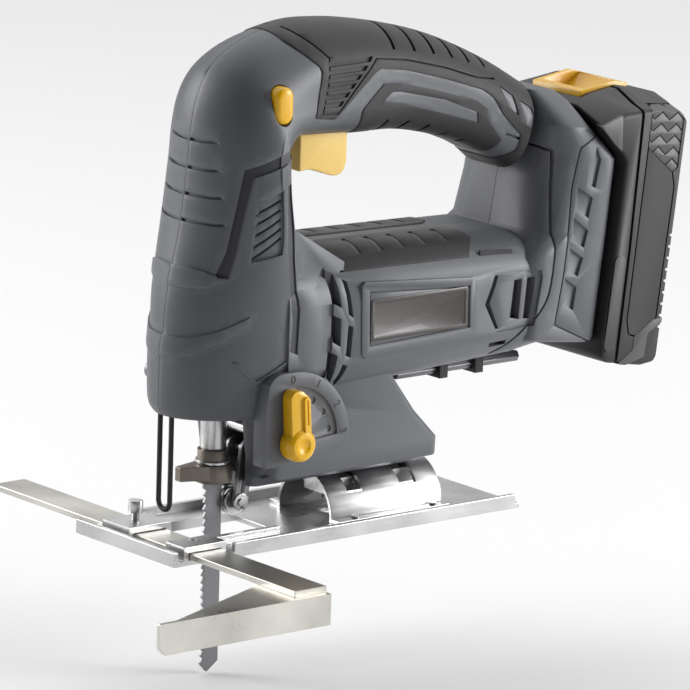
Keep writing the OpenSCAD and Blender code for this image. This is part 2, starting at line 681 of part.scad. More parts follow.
module bevel_saddle() color(bright) difference() {
    along_x(saddle_x[0], 0, bevel_z) difference() {
        union() {
            cylinder(r = saddle_r, h = saddle_len);
            translate([bevel_z - plate_t - saddle_t, -saddle_r - 5, 0])
                cube([saddle_t, 2 * saddle_r + 10, saddle_len]);
        }
        translate([0, 0, -1]) cylinder(r = saddle_r - saddle_t, h = saddle_len + 2);
    }
    box([-big, big], [-big, big], [-big, plate_t]);
    // windows that let the clamp bolts pass as the sole bevels
    for (x = bolt_x) translate([x - 4, 0, bevel_z]) rotate([90, 0, 90]) linear_extrude(8)
        polygon([[0, 0], [big * cos(33), big * sin(33)], [0, 4 * big],
            [-big * cos(33), big * sin(33)]]);
}
module saddle_rivets() color(steel) for (x = [12, 51], s = [-1, 1])
    translate([x, s * (saddle_r + 2.3), plate_t + saddle_t]) cylinder(r = 1.6, h = 0.7);
shoe_r = saddle_r - saddle_t - slide_fit;
module clamp_shoe() color(steel) difference() {
    intersection() {
        along_x(bolt_x[0] - 9, 0, bevel_z) cylinder(r = shoe_r, h = bolt_x[1] - bolt_x[0] + 18);
        box([-big, big], [-7, 7], [bevel_z + 7.6, big]);
    }
    for (x = bolt_x) translate([x, 0, 0]) cylinder(r = bolt_r, h = 60);
}
module clamp_bolts() color(dark_steel) for (x = bolt_x) translate([x, 0, bevel_z + 4]) {
    cylinder(r = bolt_r, h = 26);
    difference() {
        cylinder(r = 4.2, h = 3.6);
        translate([0, 0, -1]) cylinder(r = 2, h = 3, $fn = 6);
    }
}

// Side fence
module fence_bar() color([0.72, 0.70, 0.65]) box([bar_x - fence_w / 2, bar_x + fence_w / 2],
    [-fence_len / 2, fence_len / 2], [bar_z, bar_z + fence_t]);
module fence_plate() color([0.80, 0.78, 0.72]) difference() {
    union() {
        box([bar_x - fence_plate_len, bar_x + fence_w / 2], [fence_y - 1, fence_y + 1],
            [bar_z - fence_drop, bar_z]);
        fence_web();
    }
    for (s = [0, 1]) translate([bar_x - fence_plate_len - 0.1, fence_y - 2, bar_z - fence_drop])
        rotate([0, 45, 0]) translate([-2, 0, -2]) cube([4, 4, 4]);
}
module fence_web() translate([0, 0, bar_z - 1.6]) linear_extrude(1.6) difference() {
    polygon([[bar_x + fence_w / 2, fence_y], [bar_x + fence_w / 2, fence_y + 24],
        [bar_x - fence_w / 2, fence_y + 24], [bar_x - fence_plate_len + 6, fence_y]]);
    translate([bar_x - fence_plate_len / 2 - 24, fence_y + 66]) circle(r = 52, $fn = 96);
}
module fence_screw() color(bright) translate([screw_x, screw_y, 0]) {
    translate([0, 0, bar_z + fence_t + 0.05]) cylinder(r = screw_r, h = 7);
    translate([0, 0, bar_z + fence_t + 6]) cylinder(r = 2.9, h = 4.6);
}

// Controls
module trigger() color(amber) difference() {
    trigger_form();
    box([trigger_x + 4, trigger_x + trigger_len - 4], [-trigger_w / 2 + 2.5, trigger_w / 2 - 2.5],
        [trigger_top - 9, trigger_top + 2]);
}
module trigger_form() {
    box([trigger_x - 1.5, trigger_x + trigger_len + 1.5], [-trigger_w / 2, trigger_w / 2],
        [trigger_top - 0.01, trigger_top + 1.2]);
    side(trigger_w / 2) polygon([[trigger_x, trigger_low + 2.6], [trigger_x + 6, trigger_low + 3.2],
        [trigger_x + 13, trigger_low + 1.6], [trigger_x + 18, trigger_low],
        [trigger_x + trigger_len - 1.5, trigger_low + 0.8],
        [trigger_x + trigger_len, trigger_low + 3], [trigger_x + trigger_len, trigger_top],
        [trigger_x, trigger_top]]);
}
module trigger_spring() color(steel) translate([trigger_x + trigger_len / 2, 0, trigger_top - 9])
    ring(3, 2.2, switch_low - trigger_top + 9);
module switch_body() color(pack_black) box([trigger_x, trigger_x + 34], [-8, 8],
    [switch_low, switch_low + 11]);
module lock_button() color(yellow) {
    along_y(lock_at[0], -30.4, lock_at[1]) linear_extrude(12.6) pill(8.3, 14.5);
    along_y(lock_at[0], lock_flange_y, lock_at[1]) linear_extrude(1.5) pill(10.2, 16.4);
    along_y(lock_at[0], lock_flange_y + 1, lock_at[1]) cylinder(r = 2.5, h = 3.5);
}
module lock_spring() color(steel) along_y(lock_at[0], lock_flange_y + 4.5, lock_at[1])
    ring(2.5, 1.8, 6);
key_y = -6;
key_z = 54.3;
key_x = [40, 102];
module hex_key() color(steel) along_x(key_x[0], key_y, key_z) rotate(30)
    cylinder(r = key_af / 2 / cos(30), h = key_x[1] - key_x[0], $fn = 6);
module key_clip() color(dark_steel) difference() {
    for (x = [60, 78]) box([x, x + 4], [key_y - 4, key_y + 4], [key_z - key_af / 2 - 1.6, 62]);
    along_x(0, key_y, key_z) cylinder(r = key_af / 2 / cos(30) + 0.1, h = 200);
    barrel_form(0);
}
module control_board() color(board_green) box([96, 97.6], [-22, 22], [78, 122]);
module terminal_block() color(pack_black) block_blank(0);

// Battery, built in the leaning frame of the rail
module pack_form(o) hull() {
    side(pack_half - o) polygon([[0.35 + o, pack_v[0] + 2 + o], [3 + o, pack_v[0] + o],
        [batt_d - 8, pack_v[0] + o - 1], [batt_d - o, pack_v[0] + 1 + o], [batt_d - o, pack_v[1] - o],
        [batt_d - 4, pack_v[1] + 2 - o], [11, pack_v[1] + 2 - o], [-2.6, pack_v[1] - o],
        [-15.3 + o, pack_v[1] - 5.5 - o], [0.35 + o, 70]]);
    side(pack_half - 17 - o) polygon([[0.35 + o, 70], [-15.5 + o, 91 - o], [-7, 94.5 - o],
        [7, 99.5 - o], [batt_d - 6, 98.5 - o], [batt_d - o, 94 - o]]);
}
module pack_solid() difference() {
    at_foot() difference() {
        pack_form(0);
        box([-60, 0.35], [-big, big], [-60, 71.9]);
        box([2.8, batt_d - 2.5], [-pack_half + 2.5, pack_half - 2.5], [pack_v[0] + 1.8, 86.4]);
    }
    foot_form(-slide_fit - 0.1);
}
button_u = [-6.5, 8.5];
button_half = 10.5;
button_v = 86.5;
split_u = 15;
module button_blank(g) at_foot() side(button_half + g) polygon([
    [button_u[0] - g, button_v], [button_u[0] - g, 95.4], [button_u[1] + g, 100.8],
    [button_u[1] + g, button_v]]);
module battery_case() color(pack_black) difference() {
    union() {
        intersection() {
            pack_solid();
            at_foot() box([-40, split_u], [-big, big], [-40, 140]);
        }
        tongue(0);
        at_foot() box([0.4, 7], [-4.5, 4.5], [74, 77]);
    }
    contact_blank();
    at_foot() {
        box([button_u[0] - 0.3, button_u[1] + 0.3], [-button_half - 0.3, button_half + 0.3],
            [button_v - button_travel - 0.5, 140]);
        translate([3, 0, 77]) cylinder(r = 3.2, h = 12);
        for (s = [-1, 1]) box([-8.4, -2.2], [s * 7 - 1, s * 7 + 1], [0, 17]);
    }
}
module battery_cover() color(pack_black) intersection() {
    pack_solid();
    at_foot() box([split_u, 60], [-big, big], [-40, 140]);
}
module battery_cells() color([0.30, 0.45, 0.62]) at_foot() for (i = [0 : cell_count - 1])
    along_y(batt_d - 2.6 - cell_d / 2, -32.5, pack_v[0] + 2 + cell_d / 2 + i * cell_pitch)
        cylinder(r = cell_d / 2, h = 65);
module contact_blank() at_foot() for (s = [-1, 1])
    box([-2.2, 3.6], [s * 7 - 2.5, s * 7 + 2.5], [7, 16]);
module battery_contacts() color(copper) contact_blank();
module release_button() color(yellow) difference() {
    button_blank(0);
    at_foot() translate([1.5, 0, 104]) rotate([0, -19, 0]) along_x(-4.5, 0, 0)
        cylinder(r = 11, h = 9);
}
module release_spring() color(steel) at_foot() translate([3, 0, 77]) ring(3, 2.3, button_v - 77);

left_shell();
right_shell();
left_grip();
right_grip();
left_barrel_pad();
right_barrel_pad();
left_nameplate();
right_nameplate();
dial_plate();
housing_screws();
wire_guard();
motor_can();
motor_magnets();
motor_end_cap();
front_bearing();
rear_bearing();
gear_frame();
gear_axle();
upper_bush();
lower_bush();
switch_body();
trigger_spring();
lock_spring();
control_board();
terminal_block();
key_clip();
fork_pivot_pin();
clamp_shoe();
clamp_bolts();
armature();
pinion();
cooling_fan();
drive_gear();
crank_roller();
plunger();
clamp_holder();
clamp_spring();
blade();
clamp_collar();
roller_fork();
roller_pin();
roller_clip();
support_roller();
selector_knob();
selector_shaft();
base_plate();
bevel_saddle();
saddle_rivets();
fence_bar();
fence_plate();
fence_screw();
trigger();
lock_button();
hex_key();
battery_case();
battery_cover();
battery_cells();
battery_contacts();
release_button();
release_spring();
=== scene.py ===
"""Cordless jigsaw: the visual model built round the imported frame."""

import json
import math

import bpy
from mathutils import Matrix, Vector

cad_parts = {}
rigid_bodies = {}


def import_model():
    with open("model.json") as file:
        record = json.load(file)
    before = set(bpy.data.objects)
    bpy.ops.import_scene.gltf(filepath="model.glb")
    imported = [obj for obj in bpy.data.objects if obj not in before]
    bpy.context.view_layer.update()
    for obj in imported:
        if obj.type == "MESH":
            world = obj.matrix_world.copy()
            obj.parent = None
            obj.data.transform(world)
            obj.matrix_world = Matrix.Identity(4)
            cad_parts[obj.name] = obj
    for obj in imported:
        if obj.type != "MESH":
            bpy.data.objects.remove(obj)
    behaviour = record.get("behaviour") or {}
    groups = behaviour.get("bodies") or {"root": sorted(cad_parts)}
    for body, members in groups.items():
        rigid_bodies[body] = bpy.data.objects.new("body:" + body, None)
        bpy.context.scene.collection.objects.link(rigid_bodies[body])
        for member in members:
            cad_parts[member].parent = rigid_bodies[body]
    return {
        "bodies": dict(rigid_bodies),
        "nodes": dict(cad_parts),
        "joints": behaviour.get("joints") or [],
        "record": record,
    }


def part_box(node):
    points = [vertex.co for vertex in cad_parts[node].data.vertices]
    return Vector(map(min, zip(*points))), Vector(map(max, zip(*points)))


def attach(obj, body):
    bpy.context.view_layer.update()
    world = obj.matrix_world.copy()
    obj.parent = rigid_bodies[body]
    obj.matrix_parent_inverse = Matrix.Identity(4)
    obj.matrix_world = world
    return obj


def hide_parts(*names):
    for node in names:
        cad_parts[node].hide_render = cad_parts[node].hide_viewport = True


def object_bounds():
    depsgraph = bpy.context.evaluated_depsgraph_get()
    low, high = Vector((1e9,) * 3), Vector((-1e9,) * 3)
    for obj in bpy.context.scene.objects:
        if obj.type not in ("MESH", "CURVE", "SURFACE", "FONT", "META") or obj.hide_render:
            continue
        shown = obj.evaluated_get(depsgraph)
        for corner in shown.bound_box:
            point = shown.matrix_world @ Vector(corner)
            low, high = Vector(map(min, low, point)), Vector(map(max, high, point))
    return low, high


bl_info = {
    "name": "Cordless Jigsaw",
    "version": (1, 0, 0),
    "blender": (4, 5, 0),
    "location": "3D View > Sidebar > Jigsaw",
    "description": "Models a cordless jigsaw's mouldings, metalwork and studio",
    "category": "Add Mesh",
}

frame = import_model()
NODES = frame["nodes"]
CAD_BOX = [[float(c) for c in corner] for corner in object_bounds()]
MM = 0.001

# Lines that the mouldings are laid out from, in millimetres
SHELL_BOX = [[c / MM for c in corner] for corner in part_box("left_shell")]
CROWN = SHELL_BOX[1][2]
HALF = -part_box("left_nameplate")[0][1] / MM - 0.6
FOOT_X, FOOT_Z, LEAN = 120.7, 63.8, math.radians(7)
PACK_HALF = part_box("battery_case")[1][1] / MM
FLOOR_Z = CAD_BOX[0][2] - 0.0006
REACH = 60          # how far a cutter goes past the tool's sides
CENTRE_GAP = 0.0001  # keeps the two sides of a shape from sharing a face
SHARP = math.radians(32)
BEVEL_Z = next(j["pos_m"][2] for j in frame["joints"] if j["name"] == "bevel") / MM
SOLE_EDGE = [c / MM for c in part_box("base_plate")[1]]
RAIL_SWEEP = math.hypot(SOLE_EDGE[1], SOLE_EDGE[2] - BEVEL_Z) + 0.6


# ---------------------------------------------------------------- settings

class JigsawSizes(bpy.types.PropertyGroup):
    """Sizes of the mouldings' finish"""
    seam: bpy.props.FloatProperty(
        name="Seam", description="Gap between the two housing halves",
        default=0.00022, unit="LENGTH")
    groove: bpy.props.FloatProperty(
        name="Groove depth", description="Depth of the styling grooves",
        default=0.0011, unit="LENGTH")
    edge: bpy.props.FloatProperty(
        name="Edge radius", description="Radius on the mouldings' edges",
        default=0.0005, unit="LENGTH")
    metal_edge: bpy.props.FloatProperty(
        name="Metal edge", description="Radius on the metal parts' edges",
        default=0.00022, unit="LENGTH")
    ring_points: bpy.props.IntProperty(
        name="Ring points", description="Points round each lofted section",
        default=72, min=24)


class JigsawColours(bpy.types.PropertyGroup):
    """Base colours of the finishes"""
    housing: bpy.props.FloatVectorProperty(
        name="Housing", description="Colour of the moulded shells",
        default=(0.098, 0.103, 0.115), subtype="COLOR")
    rubber: bpy.props.FloatVectorProperty(
        name="Rubber", description="Colour of the soft grips",
        default=(0.014, 0.0145, 0.016), subtype="COLOR")
    accent: bpy.props.FloatVectorProperty(
        name="Accent", description="Colour of the knob and buttons",
        default=(0.80, 0.44, 0.002), subtype="COLOR")
    trigger: bpy.props.FloatVectorProperty(
        name="Trigger", description="Colour of the trigger",
        default=(0.86, 0.46, 0.05), subtype="COLOR")
    zinc: bpy.props.FloatVectorProperty(
        name="Zinc", description="Colour of the plated sheet metal",
        default=(0.60, 0.60, 0.60), subtype="COLOR")


def sizes():
    return bpy.context.scene.jigsaw_sizes


def colours():
    return bpy.context.scene.jigsaw_colours


# ---------------------------------------------------------------- materials

def new_material(name, colour, rough, metal=0.0):
    """A Principled material, its node tree and its shader."""
    mat = bpy.data.materials.new(name)
    mat.use_nodes = True
    shader = mat.node_tree.nodes["Principled BSDF"]
    shader.inputs["Base Color"].default_value = (*colour, 1)
    shader.inputs["Roughness"].default_value = rough
    shader.inputs["Metallic"].default_value = metal
    return mat, mat.node_tree, shader


def coordinates(tree, stretch=(1, 1, 1)):
    """Object coordinates through a Mapping node that scales them."""
    coords = tree.nodes.new("ShaderNodeTexCoord")
    mapping = tree.nodes.new("ShaderNodeMapping")
    mapping.inputs["Scale"].default_value = stretch
    tree.links.new(coords.outputs["Object"], mapping.inputs["Vector"])
    return mapping.outputs["Vector"]


def noise(tree, vector, scale, detail=3.0):
    """Noise from 0 to 1."""
    node = tree.nodes.new("ShaderNodeTexNoise")
    node.inputs["Scale"].default_value = scale
    node.inputs["Detail"].default_value = detail
    tree.links.new(vector, node.inputs["Vector"])
    return node.outputs["Fac"]


def ramp(tree, fac, low, high, start=0.3, end=0.7):
    """Maps start to end on to low to high, held at both ends."""
    node = tree.nodes.new("ShaderNodeMapRange")
    node.inputs["From Min"].default_value = start
    node.inputs["From Max"].default_value = end
    node.inputs["To Min"].default_value = low
    node.inputs["To Max"].default_value = high
    tree.links.new(fac, node.inputs["Value"])
    return node.outputs["Result"]


def tint(tree, shader, fac, dark, light):
    """Mixes the base colour between two colours by fac."""
    mix = tree.nodes.new("ShaderNodeMix")
    mix.data_type = "RGBA"
    mix.inputs["A"].default_value = (*dark, 1)
    mix.inputs["B"].default_value = (*light, 1)
    tree.links.new(fac, mix.inputs["Factor"])
    tree.links.new(mix.outputs["Result"], shader.inputs["Base Color"])
    return mix


def bump(tree, shader, height, strength, distance):
    """Relief from a height, distance deep in metres."""
    node = tree.nodes.new("ShaderNodeBump")
    node.inputs["Strength"].default_value = strength
    node.inputs["Distance"].default_value = distance
    tree.links.new(height, node.inputs["Height"])
    tree.links.new(node.outputs["Normal"], shader.inputs["Normal"])
    return node


def worn_edges(tree):
    """A 0 to 1 mask that is 1 on sharp outer edges."""
    geometry = tree.nodes.new("ShaderNodeNewGeometry")
    return ramp(tree, geometry.outputs["Pointiness"], 0, 1, 0.51, 0.60)


def shade(colour, k):
    """A colour k times as light."""
    return tuple(min(1.0, c * k) for c in colour)


def moulded_plastic(name, colour, rough=0.42, grain=2600, depth=0.00006):
    """Spark-eroded nylon: fine pebble grain, faint mottling, paler rubbed edges."""
    mat, tree, shader = new_material(name, colour, rough)
    where = coordinates(tree)
    mottle = noise(tree, where, 60, 4)
    worn = worn_edges(tree)
    blend = tree.nodes.new("ShaderNodeMath")
    blend.operation = "ADD"
    tree.links.new(ramp(tree, mottle, 0.0, 0.55), blend.inputs[0])
    tree.links.new(worn, blend.inputs[1])
    blend.use_clamp = True
    tint(tree, shader, blend.outputs[0], shade(colour, 0.93), shade(colour, 1.18))
    pebble = noise(tree, where, grain, 2)
    tree.links.new(ramp(tree, pebble, rough - 0.07, rough + 0.1), shader.inputs["Roughness"])
    bump(tree, shader, pebble, 0.35, depth)
    return mat


def rubber(name, colour):
    """Matt thermoplastic rubber with a satin sheen."""
    mat, tree, shader = new_material(name, colour, 0.62)
    where = coordinates(tree)
    tint(tree, shader, ramp(tree, noise(tree, where, 90, 5), 0, 1), shade(colour, 0.85),
         shade(colour, 1.35))
    grain = noise(tree, where, 3400, 2)
    tree.links.new(ramp(tree, grain, 0.5, 0.7), shader.inputs["Roughness"])
    bump(tree, shader, grain, 0.3, 0.00005)
    shader.inputs["Sheen Weight"].default_value = 0.08
    return mat


def gloss_plastic(name, colour, rough=0.28):
    """Semi-gloss button plastic with faint moulding flow."""
    mat, tree, shader = new_material(name, colour, rough)
    where = coordinates(tree)
    tint(tree, shader, ramp(tree, noise(tree, where, 45, 3), 0, 1), shade(colour, 0.94),
         shade(colour, 1.05))
    fine = noise(tree, where, 1500, 2)
    tree.links.new(ramp(tree, fine, rough - 0.04, rough + 0.08), shader.inputs["Roughness"])
    bump(tree, shader, fine, 0.12, 0.00004)
    shader.inputs["Coat Weight"].default_value = 0.15
    return mat


def sheet_metal(name, colour, rough=0.24, along=(1, 1, 1), patch=30):
    """Plated or brushed metal: drawn grain along one way, cloudy plating, smudges."""
    mat, tree, shader = new_material(name, colour, rough, 1.0)
    drawn = noise(tree, coordinates(tree, along), 700, 3)
    cloud = noise(tree, coordinates(tree), patch, 5)
    tint(tree, shader, ramp(tree, cloud, 0, 1, 0.35, 0.65), shade(colour, 0.86), shade(colour, 1.1))
    mix = tree.nodes.new("ShaderNodeMath")
    mix.operation = "MULTIPLY_ADD"
    mix.inputs[1].default_value = 0.18
    tree.links.new(drawn, mix.inputs[0])
    tree.links.new(ramp(tree, cloud, rough - 0.1, rough + 0.06, 0.3, 0.7), mix.inputs[2])
    tree.links.new(mix.outputs[0], shader.inputs["Roughness"])
    bump(tree, shader, drawn, 0.06, 0.00003)
    return mat


# ---------------------------------------------------------------- modelling helpers

def deselect():
    if bpy.context.object and bpy.context.object.mode != "OBJECT":
        bpy.ops.object.mode_set(mode="OBJECT")
    bpy.ops.object.select_all(action="DESELECT")


def activate(obj):
    deselect()
    obj.select_set(True)
    bpy.context.view_layer.objects.active = obj


def edit_all(obj):
    """Edit mode on obj with everything selected."""
    activate(obj)
    bpy.ops.object.mode_set(mode="EDIT")
    bpy.ops.mesh.select_all(action="SELECT")


def leave():
    bpy.ops.object.mode_set(mode="OBJECT")


def place(obj, points):
    """Puts a primitive's vertices at points, given in millimetres."""
    flat = [c * MM for p in points for c in p]
    obj.data.vertices.foreach_set("co", flat)
    obj.data.update()


def loft(name, rings):
    """A closed tube through rings of equal point count, capped at both ends."""
    across, along = len(rings[0]), len(rings)
    deselect()
    bpy.ops.mesh.primitive_grid_add(x_subdivisions=across, y_subdivisions=along - 1)
    obj = bpy.context.object
    obj.name = obj.data.name = name
    place(obj, [ring[i % across] for ring in rings for i in range(across + 1)])
    edit_all(obj)
    bpy.ops.mesh.remove_doubles(threshold=1e-6)
    bpy.ops.mesh.select_all(action="DESELECT")
    bpy.ops.mesh.select_non_manifold()
    bpy.ops.mesh.fill_holes(sides=0)
    bpy.ops.mesh.select_all(action="SELECT")
    bpy.ops.mesh.normals_make_consistent(inside=False)
    leave()
    return obj


def prism(name, outline, low, high, to_world):
    """An outline extruded from low to high; to_world places (a, b, depth) in millimetres."""
    deselect()
    bpy.ops.mesh.primitive_circle_add(vertices=len(outline), fill_type="NGON")
    obj = bpy.context.object
    obj.name = obj.data.name = name
    place(obj, [to_world(a, b, low) for a, b in outline])
    shift = Vector(to_world(0, 0, high)) - Vector(to_world(0, 0, low))
    edit_all(obj)
    bpy.ops.mesh.extrude_region_move(TRANSFORM_OT_translate={"value": shift * MM})
    bpy.ops.mesh.select_all(action="SELECT")
    bpy.ops.mesh.normals_make_consistent(inside=False)
    leave()
    return obj


def side_on(a, b, y):
    """Outline in the side view, extruded across the tool."""
    return (a, y, b)


def on_foot(u, v, y):
    """Outline in the leaning frame of the battery rail."""
    return (FOOT_X + u * math.cos(LEAN) + v * math.sin(LEAN), y,
            FOOT_Z - u * math.sin(LEAN) + v * math.cos(LEAN))


def from_above(a, b, z):
    """Outline in the plan, extruded upwards."""
    return (a, b, z)


def from_behind(a, b, x):
    """Outline in the end view, extruded along the tool."""
    return (x, a, b)


def crown(x, dz):
    """A point of the handle, measured from the crown's height."""
    return (x, CROWN + dz)


def band(points, width):
    """Outline of a strip of the given width that follows points."""
    left, right = [], []
    count = len(points)
    for i, p in enumerate(points):
        a = Vector(points[max(i - 1, 0)])
        b = Vector(points[min(i + 1, count - 1)])
        way = (b - a).normalized()
        side = Vector((-way.y, way.x)) * (width / 2)
        left.append(tuple(Vector(p) + side))
        right.append(tuple(Vector(p) - side))
    return left + right[::-1]


def curve(points, steps=8):
    """Points of a smooth line through the given ones."""
    out = []
    for i in range(len(points) - 1):
        p = [Vector(points[max(0, min(len(points) - 1, i + k))]) for k in (-1, 0, 1, 2)]
        for s in range(steps):
            t = s / steps
            out.append(tuple(0.5 * (2 * p[1] + (p[2] - p[0]) * t
                                    + (2 * p[0] - 5 * p[1] + 4 * p[2] - p[3]) * t ** 2
                                    + (3 * p[1] - p[0] - 3 * p[2] + p[3]) * t ** 3)))
    out.append(tuple(points[-1]))
    return out


def arc(cx, cy, r, start, end, count):
    """Points round a centre, from one angle to another in degrees."""
    return [(cx + r * math.cos(math.radians(start + (end - start) * i / (count - 1))),
             cy + r * math.sin(math.radians(start + (end - start) * i / (count - 1))))
            for i in range(count)]


def rounded(x0, x1, y0, y1, r, count=5):
    """Rounded rectangle outline."""
    return (arc(x1 - r, y1 - r, r, 0, 90, count) + arc(x0 + r, y1 - r, r, 90, 180, count)
            + arc(x0 + r, y0 + r, r, 180, 270, count) + arc(x1 - r, y0 + r, r, 270, 360, count))


def apply_modifiers(obj):
    activate(obj)
    for modifier in list(obj.modifiers):
        bpy.ops.object.modifier_apply(modifier=modifier.name)


def boolean(obj, other, how, keep=False):
    """Joins other to obj, cuts it away or keeps what they share; other goes unless kept."""
    modifier = obj.modifiers.new("bool", "BOOLEAN")
    modifier.operation = how
    modifier.solver = "MANIFOLD"
    modifier.object = other
    apply_modifiers(obj)
    if not keep:
        bpy.data.objects.remove(other, do_unlink=True)
    return obj


def gather(name, pieces):
    """Joins pieces into one object."""
    deselect()
    for piece in pieces:
        piece.select_set(True)
    bpy.context.view_layer.objects.active = pieces[0]
    if len(pieces) > 1:
        bpy.ops.object.join()
    pieces[0].name = pieces[0].data.name = name
    return pieces[0]


def copy_of(obj, name):
    twin = obj.copy()
    twin.data = obj.data.copy()
    twin.name = twin.data.name = name
    bpy.context.collection.objects.link(twin)
    return twin


def mirrored(obj, name):
    """A copy on the other side of the tool's centre plane."""
    twin = copy_of(obj, name)
    edit_all(twin)
    bpy.ops.transform.mirror(constraint_axis=(False, True, False), orient_type="GLOBAL",
                             center_override=(0, 0, 0))
    bpy.ops.mesh.normals_make_consistent(inside=False)
    leave()
    return twin


def keep_side(obj, sign, gap):
    """Cuts obj at the centre plane and keeps one side, closed."""
    edit_all(obj)
    bpy.ops.mesh.bisect(plane_co=(0, sign * gap / 2, 0), plane_no=(0, 1, 0), use_fill=True,
                        clear_inner=sign > 0, clear_outer=sign < 0)
    bpy.ops.mesh.select_all(action="SELECT")
    bpy.ops.mesh.remove_doubles(threshold=2e-6)
    bpy.ops.mesh.normals_make_consistent(inside=False)
    leave()
    return obj


def round_edges(obj, width, angle=28, segments=2):
    """Rounds the sharp edges and shades the rest smooth."""
    modifier = obj.modifiers.new("edges", "BEVEL")
    modifier.width = width
    modifier.segments = segments
    modifier.limit_method = "ANGLE"
    modifier.angle_limit = math.radians(angle)
    modifier.harden_normals = False
    modifier.miter_outer = "MITER_ARC"
    apply_modifiers(obj)
    activate(obj)
    bpy.ops.object.shade_smooth_by_angle(angle=SHARP)
    return obj


def finish_piece(obj, material, body, slot, *nodes):
    """Gives a piece its material and body and hides the nodes it stands for; slot is not used."""
    obj.data.materials.clear()
    obj.data.materials.append(material)
    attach(obj, body)
    if nodes:
        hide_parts(*nodes)
    return obj


def material(name):
    return bpy.data.materials[name]


# ---------------------------------------------------------------- the housing's form

def section(inner, outer, half, depth, corner, o=0.0):
    """One slice of the column and handle: round towards outer, squarer towards inner."""
    n = sizes().ring_points // 4
    start, end = Vector(inner), Vector(outer)
    length = (end - start).length
    along = (end - start) / length
    length -= 2 * o
    start = start + along * o
    w = half - o
    depth = min(depth, length - 2)
    corner = max(corner - o, 2)
    pts = []
    for i in range(3):
        pts.append((0.0, (w - corner) * i / 3))
    for i in range(7):
        t = math.radians(90 * i / 7)
        pts.append((corner - corner * math.cos(t), w - corner + corner * math.sin(t)))
    for i in range(5):
        pts.append((corner + (length - depth - corner) * i / 5, w))
    rest = 2 * n - 15
    for i in range(rest + 1):
        t = math.radians(90 * i / rest)
        pts.append((length - depth + depth * math.sin(t), w * math.cos(t)))
    ring = [(s, y) for s, y in pts] + [(s, -y) for s, y in pts[-2:0:-1]]
    return [(start.x + along.x * s, y, start.y + along.y * s) for s, y in ring]


# inner point, outer point, half width, depth of the round front, corner radius
STATIONS = [
    ((-24, 50.6), (-68.2, 50.6), HALF - 5, 40, 6),
    ((-24, 53), (-69.8, 53), HALF - 3, 43, 7),
    ((-24, 57), (-70.5, 57), HALF - 1.8, 44, 8),
    ((-24, 66), (-70.5, 66), HALF - 1.2, 43, 8),
    ((-24, 75), (-70.2, 75), HALF - 1, 42, 8),
    ((-24, 84), (-69.0, 84), HALF - 1, 39, 8),
    ((-24, 94), (-68.2, 94), HALF - 0.8, 36, 8),
    ((-24.5, 103), (-66.6, 103.5), HALF - 0.6, 33, 8),
    ((-25.5, 112), (-64.6, 113), HALF - 0.5, 30, 8),
    ((-27, 123), (-62.2, 124.5), HALF - 0.5, 27, 8),
    ((-28.3, 135), (-60.6, 136), HALF - 0.8, 26, 8.5),
    ((-28.6, 144), (-59.4, 147), HALF - 1, 26, 9),
    (crown(-28, -46.5), crown(-58.2, -37.5), HALF - 1.6, 25.5, 9.5),
    (crown(-26.3, -43), crown(-55.6, -25.5), HALF - 2.6, 25, 10),
    (crown(-23.6, -41.6), crown(-50.5, -15.8), HALF - 4.2, 24, 10),
    (crown(-20.4, -41.2), crown(-42.5, -9), HALF - 5.9, 23, 10),
    (crown(-16, -41.6), crown(-31, -4), HALF - 7.6, 22, 10),
    (crown(-9, -42.5), crown(-13, -0.2), HALF - 9.5, 20, 10.5),
    (crown(2, -43.3), crown(1, -0.3), HALF - 10.7, 19, 11),
    (crown(14, -44), crown(14, -1.7), HALF - 11.6, 18, 11),
    (crown(31, -44.8), crown(31, -4.8), HALF - 13, 17, 12),
    (crown(47, -47.6), crown(49, -9.4), HALF - 13.5, 17, 12),
    (crown(62, -51.8), crown(66, -15.7), HALF - 13.5, 17, 12),
    (crown(77, -58), crown(84, -24.2), HALF - 13, 17, 12),
    (crown(88, -65.5), crown(99, -33), HALF - 11, 18, 12)]
HANDLE_FROM = 14


def column_and_handle(name, o, first=0, fine=4):
    """The column and the handle in one smooth loft, drawn in by o."""
    rings = [section(*s, o=o) for s in STATIONS[first:]]
    smooth = []
    for i in range(len(rings) - 1):
        four = [rings[max(0, min(len(rings) - 1, i + k))] for k in (-1, 0, 1, 2)]
        for step in range(fine):
            t = step / fine
            k = (-t ** 3 / 2 + t ** 2 - t / 2, 1.5 * t ** 3 - 2.5 * t ** 2 + 1,
                 -1.5 * t ** 3 + 2 * t ** 2 + t / 2, t ** 3 / 2 - t ** 2 / 2)
            smooth.append([tuple(sum(w * ring[j][c] for w, ring in zip(k, four))
                                 for c in range(3)) for j in range(len(rings[0]))])
    smooth.append(rings[-1])
    return loft(name, smooth)


def handle(name, o):
    return column_and_handle(name, o, first=HANDLE_FROM)


def barrel(name, o):
    """The motor barrel: a rounded box that tapers at the back."""
    rings = []
    for x, low, high in ((-33, 56, 112), (20, 58.2, 111), (84, 61, 109.6), (98, 63, 105)):
        half = HALF - o
        outline = (arc(half - 19 + o, high - o - 19 + o, 19 - o, 0, 90, 9)
                   + arc(-half + 19 - o, high - o - 19 + o, 19 - o, 90, 180, 9)
                   + arc(-half + 12 - o, low + o + 12 - o, 12 - o, 180, 270, 7)
                   + arc(half - 12 + o, low + o + 12 - o, 12 - o, 270, 360, 7))
        rings.append([(x, a, b) for a, b in outline])
    return loft(name, rings)


def gusset(name, o):
    """The slope between the column's back and the barrel's top."""
    half = HALF - 4 - o
    outline = [(-33, 126), (-26, 121.5 - o), (-4 - o, 108), (-5, 98), (-33, 98)]
    return prism(name, outline, -half, half, side_on)


def slab_ring(x0, x1, half, z, o, r=5):
    """One level of an upright block, a rounded rectangle drawn in by o."""
    return [(a, b, z) for a, b in rounded(x0 + o, x1 - o, -half + o, half - o, r, 5)]


